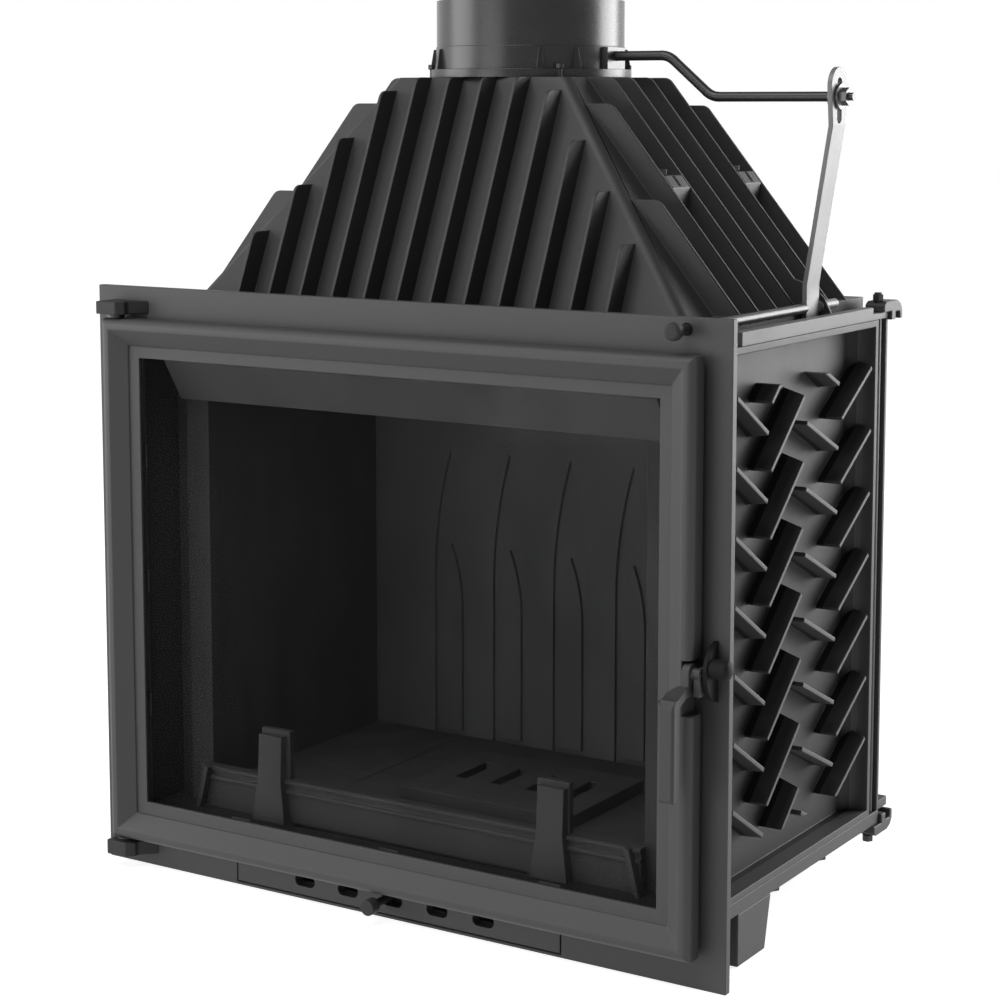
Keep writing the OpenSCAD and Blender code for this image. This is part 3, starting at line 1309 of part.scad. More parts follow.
module log_guard() seat() color(iron) {
    z0 = wall_foot + play;
    z1 = z0 + guard_post_h;
    rail_top = z0 + guard_rail_h;
    block(-guard_hw, guard_hw, guard_y1 - guard_rail_t, guard_y1, z0, rail_top);
    for (s = guard_ledge_z_shares) {
        z = z0 + guard_rail_h*s;
        block(-guard_hw, guard_hw, guard_y0 + guard_ledge_t, guard_y1 - cut, z - guard_ledge_t/2, z
            + guard_ledge_t/2);
    }
    both_sides() intersection() {
        prism_y([[guard_post_x - guard_post_foot_w/2, z0], [guard_post_x + guard_post_foot_w/2, z0],
            [guard_post_x + guard_post_w/2, z0 + guard_rail_h], [guard_post_x + guard_post_w/2, z1],
            [guard_post_x - guard_post_w/2, z1], [guard_post_x - guard_post_w/2, z0 + guard_rail_h]],
            0, guard_y1);
        prism_x([[guard_y0 - guard_foot, z0], [guard_y1, z0], [guard_y1, z1], [guard_y0, z1]],
            -guard_hw, guard_hw);
    }
    both_sides() block(guard_post_x - guard_tab_in, guard_post_x - guard_tab_in + guard_tab_w,
        guard_y1 - guard_tab_t, guard_y1, rail_top, z1 + guard_tab_rise);
    for (s = guard_rib_shares)
        prism_y([[s*guard_hw - guard_rib_t/2, z0], [s*guard_hw + guard_rib_t/2, z0],
            [s*guard_hw + guard_rib_w*s*-1/2 + guard_rib_t/2, rail_top], [s*guard_hw
            + guard_rib_w*s*-1/2 - guard_rib_t/2, rail_top]], guard_y0 - guard_foot/2, guard_y1 - cut);
}

face_plate();
side_wall_left();
side_wall_right();
rear_wall();
base_plate();
top_frame();
hood();
flue_collar();
collar_bolts();
hood_clamps();
hood_clamp_bolts();
tie_rods();
corner_clamps();
clamp_nuts();
front_feet();
rear_feet();
base_bolts();
hinge_bracket_upper();
hinge_bracket_lower();
hinge_pins();
keeper_bracket();
keeper_boss();
side_lining_left();
side_lining_right();
rear_lining();
floor_plates();
air_deflector();
baffle_lower();
baffle_upper();
air_panel();
air_panel_screws();
door_frame();
door_glass();
glass_gasket();
glass_clips();
clip_screws();
door_rope();
handle_pin();
door_handle();
keeper_roller();
pull_rod();
pull_knob();
damper_lever();
damper_shaft();
damper_blade();
shaft_nuts();
blade_bolts();
air_slide();
air_knob();
grate();
ash_pan();
log_guard();
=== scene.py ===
"""Looks of the fireplace insert: softened castings, matt paint, dark glass and a studio."""
import json
import logging
import math
from dataclasses import dataclass
from enum import Enum

import bmesh
import bpy
from mathutils import Matrix, Vector

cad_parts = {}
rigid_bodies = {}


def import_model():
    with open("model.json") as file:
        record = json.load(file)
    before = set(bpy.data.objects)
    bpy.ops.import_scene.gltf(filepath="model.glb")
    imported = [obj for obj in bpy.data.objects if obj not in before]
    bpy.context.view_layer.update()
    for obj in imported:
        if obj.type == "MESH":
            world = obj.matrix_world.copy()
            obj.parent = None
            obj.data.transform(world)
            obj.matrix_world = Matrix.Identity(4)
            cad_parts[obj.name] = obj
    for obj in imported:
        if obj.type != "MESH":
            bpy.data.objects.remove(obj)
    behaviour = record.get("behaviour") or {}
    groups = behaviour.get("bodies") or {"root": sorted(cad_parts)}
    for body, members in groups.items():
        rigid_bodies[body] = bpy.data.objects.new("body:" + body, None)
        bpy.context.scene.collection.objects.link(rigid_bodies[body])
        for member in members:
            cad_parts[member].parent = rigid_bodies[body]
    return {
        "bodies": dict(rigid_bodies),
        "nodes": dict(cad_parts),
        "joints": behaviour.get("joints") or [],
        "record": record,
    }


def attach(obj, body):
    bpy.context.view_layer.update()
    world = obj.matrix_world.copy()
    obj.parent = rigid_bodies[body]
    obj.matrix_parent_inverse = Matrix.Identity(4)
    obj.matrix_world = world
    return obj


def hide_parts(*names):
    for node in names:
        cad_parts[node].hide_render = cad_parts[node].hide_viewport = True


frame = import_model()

log = logging.getLogger("insert")

# A millimetre in metres, and the insert's own origin in the row frame
MM = 0.001
ORIGIN = Vector((-4.5, -185.5, 0.0))
# Corners closer than this become one, and so do faces that bend less than this
WELD = 0.000004
FLAT_ANGLE = math.radians(0.7)
# Edges sharper than this are broken, and faces with more corners than this are cut up first
BROKEN_ANGLE = math.radians(28.0)
MOST_CORNERS = 4
NORMAL_WEIGHT = 60
ROUND_PROFILE = 0.5
QUARTER_TURN = math.radians(90)
# Middle value of every noise and mask, and the softness of a choice between rays
MIDDLE = 0.5
RAY_SOFT = 0.2
# Numbers of sockets whose names are not unique in their node
MIX_FIRST, MIX_SECOND, MIX_COLOUR = 6, 7, 2
WAVE_HEIGHT = 1


def place(x: float, y: float, z: float) -> Vector:
    """Turns a place on the insert into the row frame.

    Args:
        x: Distance to the right of the face plate's middle, in millimetres.
        y: Distance behind the face plate's front, in millimetres.
        z: Height above the floor, in millimetres.

    Returns:
        The same place in metres.
    """
    return (Vector((x, y, z)) + ORIGIN) * MM


def shade(colour: tuple, factor: float) -> tuple:
    """Returns a colour made lighter or darker."""
    return tuple(min(1.0, part * factor) for part in colour)


def stand(name: str, data: bpy.types.ID) -> bpy.types.Object:
    """Makes an object of a mesh, lamp or camera and links it to the scene."""
    made = bpy.data.objects.new(name, data)
    bpy.context.scene.collection.objects.link(made)
    return made


def mesh_of(name: str, form: bmesh.types.BMesh) -> bpy.types.Mesh:
    """Turns a form into a mesh and frees the form."""
    mesh = bpy.data.meshes.new(name)
    form.to_mesh(mesh)
    form.free()
    return mesh


def round_over(form: bmesh.types.BMesh, edges: list[bmesh.types.BMEdge], radius: float, steps: int,
               clamp: bool) -> None:
    """Rounds edges of a form.

    Args:
        form: The form.
        edges: Its edges to be rounded.
        radius: Width of the rounding in millimetres.
        steps: Number of faces across it.
        clamp: Whether the rounding gives way where edges lie close together.
    """
    bmesh.ops.bevel(form, geom=edges, offset=radius * MM, offset_type="OFFSET", affect="EDGES",
                    segments=steps, profile=ROUND_PROFILE, material=-1, clamp_overlap=clamp)


class Edge(Enum):
    """How far the edges of a piece are broken, in millimetres, and in how many steps."""

    FOUNDRY = (1.3, 3)
    CAST = (0.9, 3)
    SHEARED = (0.5, 2)
    TURNED = (0.35, 2)
    CRISP = (0.2, 1)

    @property
    def width(self) -> float:
        """Width of the broken edge in metres."""
        return self.value[0] * MM

    @property
    def steps(self) -> int:
        """Number of faces across the broken edge."""
        return self.value[1]


class Signal:
    """A shader socket that takes part in sums, so that masks read as formulas."""

    def __init__(self, shader: "Recipe", socket: bpy.types.NodeSocket) -> None:
        """Wraps a socket.

        Args:
            shader: The shader that the socket belongs to.
            socket: The output socket.
        """
        self.shader = shader
        self.socket = socket

    def _math(self, operation: str, first: object, second: object) -> "Signal":
        """Adds one Math node."""
        return self.shader.node("ShaderNodeMath", {"operation": operation}, {0: first, 1: second})

    def __add__(self, other: object) -> "Signal":
        """Returns self + other."""
        return self._math("ADD", self, other)

    def __radd__(self, other: object) -> "Signal":
        """Returns other + self."""
        return self._math("ADD", other, self)

    def __sub__(self, other: object) -> "Signal":
        """Returns self - other."""
        return self._math("SUBTRACT", self, other)

    def __rsub__(self, other: object) -> "Signal":
        """Returns other - self."""
        return self._math("SUBTRACT", other, self)

    def __mul__(self, other: object) -> "Signal":
        """Returns self * other."""
        return self._math("MULTIPLY", self, other)

    def above(self, edge: float, soft: float) -> "Signal":
        """Returns a mask that rises from 0 to 1 over soft, round the value edge."""
        low = edge - soft / 2
        return self.shader.node(
            "ShaderNodeMapRange", {"interpolation_type": "SMOOTHSTEP"},
            {"Value": self, "From Min": low, "From Max": low + soft})

    def dimmed(self, edge: float, soft: float, share: float) -> "Signal":
        """Returns 1 that falls by share over soft, round the value edge."""
        return 1.0 - self.above(edge, soft) * share

    def swing(self, amount: float) -> "Signal":
        """Returns a noise as a change of up to half the amount to either side."""
        return (self - MIDDLE) * amount


class Recipe:
    """Node tree of a material or of the world."""

    def __init__(self, owner: bpy.types.ID) -> None:
        """Empties the owner's tree.

        Args:
            owner: The material or world.
        """
        owner.use_nodes = True
        self.tree = owner.node_tree
        self.tree.nodes.clear()

    def node(self, kind: str, settings: dict[str, object], inputs: dict[str | int, object],
             output: str | int | None = 0) -> Signal | None:
        """Adds one node.

        Args:
            kind: The node's type.
            settings: Properties of the node, set before its sockets.
            inputs: Values or signals by socket name or number.
            output: Name or number of the output to return.

        Returns:
            The chosen output, or None.
        """
        made = self.tree.nodes.new(kind)
        for key, value in settings.items():
            setattr(made, key, value)
        for key, value in inputs.items():
            self.feed(made.inputs[key], value)
        return None if output is None else Signal(self, made.outputs[output])

    def feed(self, socket: bpy.types.NodeSocket, value: object) -> None:
        """Links a signal to a socket, or sets the socket's own value."""
        if isinstance(value, Signal):
            self.tree.links.new(value.socket, socket)
        else:
            socket.default_value = value

    def seen(self, *kinds: str) -> Signal:
        """Returns 1 for a ray of any of the named kinds, such as Camera."""
        rays = [self.node("ShaderNodeLightPath", {}, {}, f"Is {kind} Ray") for kind in kinds]
        return sum(rays[1:], rays[0]).above(MIDDLE, RAY_SOFT)


class Shader(Recipe):
    """Node tree of one finish."""

    def __init__(self, name: str) -> None:
        """Starts an empty material.

        Args:
            name: The material's name.
        """
        self.material = bpy.data.materials.new(name)
        super().__init__(self.material)
        self.place = self.node("ShaderNodeTexCoord", {}, {}, "Object")

    def noise(self, size: float, detail: float, rough: float = 0.5,
              stretch: tuple = (1.0, 1.0, 1.0)) -> Signal:
        """Returns a noise between 0 and 1.

        Args:
            size: Size of its lumps in metres.
            detail: Number of finer layers.
            rough: Weight of the finer layers.
            stretch: How much closer the lumps lie along each direction.
        """
        spot = self.node("ShaderNodeMapping", {}, {"Vector": self.place, "Scale": stretch})
        return self.node("ShaderNodeTexNoise", {}, {
            "Vector": spot, "Scale": 1.0 / size, "Detail": detail, "Roughness": rough})

    def tint(self, share: object, low: object, high: object) -> Signal:
        """Returns a colour between low and high, each a colour or a signal."""
        first, second = (end if isinstance(end, Signal) else (*end, 1.0) for end in (low, high))
        return self.node("ShaderNodeMix", {"data_type": "RGBA"},
                         {0: share, MIX_FIRST: first, MIX_SECOND: second}, MIX_COLOUR)

    def vary(self, share: Signal, colour: tuple, dark: float, light: float) -> Signal:
        """Returns a colour between a darker and a lighter one.

        Args:
            share: The signal that chooses between them.
            colour: The colour in the middle.
            dark: Factor of the darker one.
            light: Factor of the lighter one.
        """
        return self.tint(share, shade(colour, dark), shade(colour, light))

    def bump(self, height: Signal, depth: float = 1.0) -> Signal:
        """Returns a normal roughened by height over a depth in metres."""
        return self.node("ShaderNodeBump", {}, {"Height": height, "Distance": depth, "Strength": 1.0})

    def dress(self, **sockets: object) -> bpy.types.Material:
        """Ends the tree with a surface shader.

        Args:
            sockets: Values or signals by the socket's name, with _ for a space.

        Returns:
            The material.
        """
        named = {key.replace("_", " "): value for key, value in sockets.items()}
        surface = self.node("ShaderNodeBsdfPrincipled", {}, named)
        self.node("ShaderNodeOutputMaterial", {}, {"Surface": surface}, None)
        return self.material


# Painted shade: paint faces inside the firebox are darkened to stand in for the shade there
@dataclass(frozen=True)
class PaintedFireboxShade:
    """Inside of the firebox in metres, how softly its faces with painted shade end, and the colour of
    that painted shade.
    """

    half: float = 0.3295
    front: float = -0.1835
    back: float = 0.1950
    foot: float = 0.0615
    top: float = 0.6050
    half_soft: float = 0.0006
    front_soft: float = 0.004
    back_soft: float = 0.002
    foot_soft: float = 0.001
    top_soft: float = 0.002
    # Colour of the painted shade
    colour: tuple = (0.008, 0.008, 0.0082)

    def mask(self, shader: Shader) -> Signal:
        """Returns the painted shade's mask, which is 1 inside the firebox and 0 on the casing's outer
        faces.
        """
        across, deep, up = (
            shader.node("ShaderNodeSeparateXYZ", {}, {"Vector": shader.place}, way) for way in "XYZ")
        width = 1.0 - (across * across).above(self.half ** 2, self.half_soft)
        front = deep.above(self.front, self.front_soft)
        back = 1.0 - deep.above(self.back, self.back_soft)
        height = up.above(self.foot, self.foot_soft) * (1.0 - up.above(self.top, self.top_soft))
        return width * front * back * height


@dataclass(frozen=True)
class StovePaint:
    """Matt heat-resistant paint on sheet or castings, with sizes and depths in metres."""

    name: str
    colour: tuple
    roughness: float = 0.55
    gloss: float = 0.35
    grain: float = 0.0012
    grain_depth: float = 0.00006
    skin: float = 0.02
    skin_depth: float = 0.00012
    mottle: float = 0.10
    # Share of painted shade on the faces inside the firebox
    dust: float = 0.12
    soot_and_painted_shade: float = 0.0
    dark: float = 0.78
    light: float = 1.22
    cloud: float = 0.11
    cloud_share: float = 2.2
    cloud_rough: float = 0.16
    grain_rough: float = 0.10
    speck_size: float = 2.6
    speck_edge: float = 0.66
    speck_soft: float = 0.10
    shade_zone: PaintedFireboxShade = PaintedFireboxShade()

    def material(self) -> bpy.types.Material:
        """Returns the finish as a material."""
        shader = Shader(self.name)
        cloud = shader.noise(self.cloud, detail=4.0, rough=0.6)
        fine = shader.noise(self.grain, detail=2.0, rough=0.6)
        skin = shader.noise(self.skin, detail=3.0)
        speck = shader.noise(self.grain * self.speck_size, detail=1.0)
        dust = speck.above(self.speck_edge, self.speck_soft) * self.dust
        mottle = cloud.swing(self.cloud_share * self.mottle) + fine.swing(self.mottle)
        base = shader.vary(mottle + MIDDLE + dust, self.colour, self.dark, self.light)
        # Painted shade: faces inside the firebox are darkened towards a near-black colour
        if self.soot_and_painted_shade:
            base = shader.tint(self.shade_zone.mask(shader) * self.soot_and_painted_shade, base, self.shade_zone.colour)
        rough = self.roughness + cloud.swing(self.cloud_rough) + fine.swing(self.grain_rough)
        height = fine * self.grain_depth + skin * self.skin_depth
        return shader.dress(Base_Color=base, Roughness=rough, Specular_IOR_Level=self.gloss,
                            Normal=shader.bump(height))


@dataclass(frozen=True)
class FireCasting:
    """Bare casting inside the firebox, with a streaky film of soot; sizes in metres."""

    name: str
    colour: tuple
    roughness: float = 0.7
    gloss: float = 0.3
    # How much the streaky film of soot darkens the casting
    soot_and_painted_shade: float = 0.12
    dark: float = 0.55
    light: float = 1.45
    grain: float = 0.0022
    grain_depth: float = 0.0001
    grain_tone: float = 0.2
    grain_rough: float = 0.14
    cloud: float = 0.16
    cloud_depth: float = 0.0004
    cloud_fall: tuple = (1.0, 1.0, 0.45)
    cloud_tone: float = 0.4
    film: float = 0.045
    film_fall: tuple = (1.0, 1.0, 0.3)
    film_edge: float = 0.52
    film_soft: float = 0.3
    film_rough: float = 0.12

    def material(self) -> bpy.types.Material:
        """Returns the finish as a material."""
        shader = Shader(self.name)
        cloud = shader.noise(self.cloud, detail=4.0, rough=0.6, stretch=self.cloud_fall)
        grain = shader.noise(self.grain, detail=3.0, rough=0.65)
        streak = shader.noise(self.film, detail=3.0, stretch=self.film_fall)
        film = streak.above(self.film_edge, self.film_soft)
        tone = cloud.swing(self.cloud_tone) + MIDDLE - film * self.soot_and_painted_shade + grain.swing(self.grain_tone)
        base = shader.vary(tone, self.colour, self.dark, self.light)
        rough = self.roughness + film * self.film_rough + grain.swing(self.grain_rough)
        height = grain * self.grain_depth + cloud * self.cloud_depth
        return shader.dress(Base_Color=base, Roughness=rough, Specular_IOR_Level=self.gloss,
                            Normal=shader.bump(height))


@dataclass(frozen=True)
class WorkedSteel:
    """Steel with fine lines left by drawing, turning or rolling; sizes in metres."""

    name: str
    colour: tuple
    roughness: float = 0.42
    metal: float = 0.85
    lines: tuple = (1.0, 1.0, 1.0)
    line_size: float = 0.0016
    line_depth: float = 0.00002
    line_tone: float = 0.35
    line_rough: float = 0.16
    dark: float = 0.7
    light: float = 1.25
    cloud: float = 0.03
    cloud_tone: float = 0.5
    stain: float = 0.008
    stain_edge: float = 0.62
    stain_soft: float = 0.2
    stain_tone: float = 0.18
    stain_rough: float = 0.12

    def material(self) -> bpy.types.Material:
        """Returns the finish as a material."""
        shader = Shader(self.name)
        cloud = shader.noise(self.cloud, detail=4.0, rough=0.6)
        line = shader.noise(self.line_size, detail=2.0, rough=0.6, stretch=self.lines)
        stain = shader.noise(self.stain, detail=3.0, rough=0.6).above(self.stain_edge, self.stain_soft)
        wear = cloud.swing(self.cloud_tone) + line.swing(self.line_tone)
        base = shader.vary(wear + MIDDLE - stain * self.stain_tone, self.colour, self.dark, self.light)
        rough = self.roughness + line.swing(self.line_rough) + stain * self.stain_rough
        return shader.dress(Base_Color=base, Roughness=rough, Metallic=self.metal,
                            Normal=shader.bump(line * self.line_depth))


@dataclass(frozen=True)
class FireGlass:
    """Ceramic fire glass, slightly tinted and see-through, with a faint haze."""

    name: str = "fire_glass"
    colour: tuple = (0.006, 0.006, 0.0065)
    cover: float = 0.08
    gloss: float = 0.25
    roughness: float = 0.04
    dark: float = 0.8
    light: float = 1.3
    haze: float = 0.09
    haze_fall: tuple = (1.0, 1.0, 0.5)
    haze_rough: float = 0.03
    haze_cover: float = 0.05

    def material(self) -> bpy.types.Material:
        """Returns the finish as a material."""
        shader = Shader(self.name)
        haze = shader.noise(self.haze, detail=3.0, stretch=self.haze_fall)
        return shader.dress(Base_Color=shader.vary(haze, self.colour, self.dark, self.light),
                            Roughness=self.roughness + haze.swing(self.haze_rough),
                            Specular_IOR_Level=self.gloss,
                            Alpha=self.cover + haze.swing(self.haze_cover))


@dataclass(frozen=True)
class FibreBraid:
    """Braided glass-fibre rope or tape, with sizes and depths in metres."""

    name: str
    colour: tuple
    pitch: float = 0.004
    pitch_scale: float = 0.32
    turn: float = 0.8
    uneven: float = 0.6
    weave_share: float = 0.7
    weave_depth: float = 0.0009
    fluff: float = 0.0007
    fluff_share: float = 0.3
    fluff_depth: float = 0.0001
    fluff_rough: float = 0.1
    roughness: float = 0.9
    dark: float = 0.45
    light: float = 1.3

    def material(self) -> bpy.types.Material:
        """Returns the finish as a material."""
        shader = Shader(self.name)
        waves = []
        for turn in (self.turn, -self.turn):
            spot = shader.node("ShaderNodeMapping", {}, {
                "Vector": shader.place, "Rotation": (turn, turn, turn)})
            waves.append(shader.node("ShaderNodeTexWave", {}, {
                "Vector": spot, "Scale": self.pitch_scale / self.pitch, "Distortion": self.uneven,
                "Detail": 1.0}, WAVE_HEIGHT))
        weave = waves[0] * waves[1]
        fluff = shader.noise(self.fluff, detail=3.0, rough=0.7)
        tone = weave * self.weave_share + fluff * self.fluff_share
        height = weave * self.weave_depth + fluff * self.fluff_depth
        return shader.dress(Base_Color=shader.vary(tone, self.colour, self.dark, self.light),
                            Roughness=self.roughness + fluff.swing(self.fluff_rough),
                            Normal=shader.bump(height))


class Finish(Enum):
    """Every finish on the insert."""

    # PLATE and WALL carry painted shade on their faces inside the firebox
    PLATE = StovePaint(
        "plate_paint", (0.062, 0.062, 0.063), roughness=0.50, gloss=0.40, grain=0.0011,
        grain_depth=0.00003, skin=0.03, skin_depth=0.00010, mottle=0.06, dust=0.05, soot_and_painted_shade=0.95)
    DOOR = StovePaint(
        "door_paint", (0.064, 0.064, 0.065), roughness=0.50, gloss=0.40, grain=0.0011,
        grain_depth=0.00003, skin=0.03, skin_depth=0.00010, mottle=0.06, dust=0.05)
    WALL = StovePaint(
        "wall_paint", (0.064, 0.064, 0.065), roughness=0.56, gloss=0.40, grain=0.0016,
        grain_depth=0.00010, skin=0.02, skin_depth=0.00016, mottle=0.09, dust=0.08, soot_and_painted_shade=0.95)
    # Painted highlight: the wall paint made lighter for the top frame, standing in for the light on the
    # top rail's side
    FRAME = StovePaint(
        "frame_paint_lightened", (0.090, 0.090, 0.091), roughness=0.52, gloss=0.45, grain=0.0016,
        grain_depth=0.00008, skin=0.02, skin_depth=0.00014, mottle=0.08, dust=0.06)
    KEEPER = StovePaint(
        "keeper_paint", (0.012, 0.012, 0.0122), roughness=0.60, gloss=0.14, grain=0.0014,
        grain_depth=0.00005, skin=0.02, skin_depth=0.00010, mottle=0.06, dust=0.04)
    BRACKET = StovePaint(
        "hinge_paint", (0.026, 0.026, 0.0265), roughness=0.50, gloss=0.30, grain=0.0014,
        grain_depth=0.00006, skin=0.02, skin_depth=0.00010, mottle=0.06, dust=0.04)
    KNOB = StovePaint(
        "knob_paint", (0.040, 0.040, 0.041), roughness=0.60, gloss=0.25, grain=0.0014,
        grain_depth=0.00005, skin=0.02, skin_depth=0.00010, mottle=0.06, dust=0.04)
    HOOD = StovePaint(
        "hood_paint", (0.040, 0.040, 0.041), roughness=0.52, gloss=0.38, grain=0.0016,
        grain_depth=0.00009, skin=0.02, skin_depth=0.00016, mottle=0.09, dust=0.06)
    COLLAR = StovePaint(
        "collar_paint", (0.030, 0.030, 0.031), roughness=0.28, gloss=0.55, grain=0.0011,
        grain_depth=0.00003, skin=0.04, skin_depth=0.00010, mottle=0.06, dust=0.04)
    HANDLE = StovePaint(
        "handle_paint", (0.052, 0.052, 0.053), roughness=0.48, gloss=0.38, grain=0.0014,
        grain_depth=0.00005, skin=0.012, skin_depth=0.00015, mottle=0.08, dust=0.06)
    ROD = StovePaint(
        "rod_paint", (0.030, 0.030, 0.031), roughness=0.36, gloss=0.50, grain=0.0012,
        grain_depth=0.00002, skin=0.02, skin_depth=0.00006, mottle=0.06, dust=0.03)
    CLAMP = StovePaint(
        "clamp_paint", (0.055, 0.055, 0.056), roughness=0.50, gloss=0.35, grain=0.0014,
        grain_depth=0.00006, skin=0.015, skin_depth=0.00012, mottle=0.08, dust=0.05)
    LEVER = StovePaint(
        "lever_paint", (0.19, 0.19, 0.194), roughness=0.40, gloss=0.50, grain=0.0010,
        grain_depth=0.00002, skin=0.03, skin_depth=0.00005, mottle=0.05, dust=0.03)
    PAN = StovePaint("pan_paint", (0.030, 0.030, 0.030), roughness=0.5, gloss=0.4)
    LINING = FireCasting("lining_casting", (0.040, 0.040, 0.041))
    FLOOR = FireCasting("floor_casting", (0.046, 0.046, 0.047))
    BACK = FireCasting("back_casting", (0.120, 0.120, 0.122))
    LINTEL = FireCasting("lintel_casting", (0.080, 0.080, 0.081), roughness=0.6, gloss=0.35, soot_and_painted_shade=0.08)
    GRATE = FireCasting("grate_casting", (0.045, 0.045, 0.046), roughness=0.6, gloss=0.35, soot_and_painted_shade=0.1,
                        grain_depth=0.00012)
    GUARD = FireCasting("guard_casting", (0.040, 0.040, 0.041), roughness=0.58, gloss=0.35, soot_and_painted_shade=0.15)
    FIXING = WorkedSteel("fixing_steel", (0.16, 0.16, 0.165), roughness=0.40, metal=0.8)
    PIN = WorkedSteel("pin_steel", (0.14, 0.14, 0.145), metal=0.8, lines=(1.0, 1.0, 0.05))
    SLIDE = WorkedSteel("slide_steel", (0.12, 0.12, 0.125), metal=0.6, lines=(0.05, 1.0, 1.0))
    GLASS = FireGlass()
    ROPE = FibreBraid("rope_fibre", (0.10, 0.10, 0.097))
    TAPE = FibreBraid("tape_fibre", (0.035, 0.035, 0.034), pitch=0.003)


class Workshop:
    """Makes objects, gives them their finish and seats them on their bodies."""

    def __init__(self, packed: dict) -> None:
        """Notes which body and which paint slot every node has.

        Args:
            packed: What the frame's load returned.
        """
        self.nodes = packed["nodes"]
        record = packed["record"]
        bodies = record["behaviour"]["bodies"]
        self.body = {node: body for body, nodes in bodies.items() for node in nodes}
        self.slot = {part["node"]: part["material_slot"] for part in record["subparts"]}
        self.materials: dict[Finish, bpy.types.Material] = {}
        self.made: list[str] = []

    def material(self, look: Finish) -> bpy.types.Material:
        """Returns a finish's material, made once."""
        if look not in self.materials:
            self.materials[look] = look.value.material()
        return self.materials[look]

    def merged(self, node: str) -> bmesh.types.BMesh:
        """Returns a node's mesh, welded and with each flat face in one piece."""
        form = bmesh.new()
        form.from_mesh(self.nodes[node].data)
        bmesh.ops.remove_doubles(form, verts=form.verts, dist=WELD)
        bmesh.ops.dissolve_degenerate(form, dist=WELD, edges=form.edges)
        bmesh.ops.dissolve_limit(form, angle_limit=FLAT_ANGLE, verts=form.verts, edges=form.edges)
        return form

    def finish(self, name: str, form: bmesh.types.BMesh, look: Finish, nodes: list[str],
               edge: Edge | None) -> None:
        """Turns a form into a finished piece.

        Args:
            name: The piece's name.
            form: Its mesh, in the row frame.
            look: Its finish.
            nodes: The nodes that it stands for, the first of which names its body.
            edge: How its edges are broken, or None.
        """
        large = [face for face in form.faces if len(face.verts) > MOST_CORNERS]
        bmesh.ops.triangulate(form, faces=large)
        for face in form.faces:
            face.smooth = True
        mesh = mesh_of(name, form)
        piece = stand(name, mesh)
        mesh.materials.append(self.material(look))
        if edge is not None:
            self.break_edges(piece, edge)
        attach(piece, self.body[nodes[0]])
        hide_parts(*nodes)
        self.made.append(name)

    @staticmethod
    def break_edges(piece: bpy.types.Object, edge: Edge) -> None:
        """Breaks the sharp edges of a piece and evens its shading."""
        broken = piece.modifiers.new("broken_edges", "BEVEL")
        broken.width = edge.width
        broken.segments = edge.steps
        broken.limit_method = "ANGLE"
        broken.angle_limit = BROKEN_ANGLE
        broken.use_clamp_overlap = False
        broken.loop_slide = False
        weighted = piece.modifiers.new("even_normals", "WEIGHTED_NORMAL")
        weighted.weight = NORMAL_WEIGHT

    def soften(self, look: Finish, edge: Edge, *nodes: str) -> None:
        """Stands a copy with broken edges in the place of each node."""
        for node in nodes:
            self.finish(f"{node}_soft", self.merged(node), look, [node], edge)


@dataclass
class FacePlate:
    """Flat plate round the door, with the hinge brackets and the keeper."""

    plate_edge: Edge = Edge.CAST
    hinge_edge: Edge = Edge.FOUNDRY
    pin_edge: Edge = Edge.SHEARED

    def build(self, shop: Workshop) -> None:
        """Makes the pieces."""
        shop.soften(Finish.PLATE, self.plate_edge, "face_plate")
        shop.soften(Finish.BRACKET, self.hinge_edge, "hinge_bracket_upper", "hinge_bracket_lower")
        shop.soften(Finish.ROD, self.pin_edge, "hinge_pins")
        shop.soften(Finish.KEEPER, self.plate_edge, "keeper_bracket", "keeper_boss")


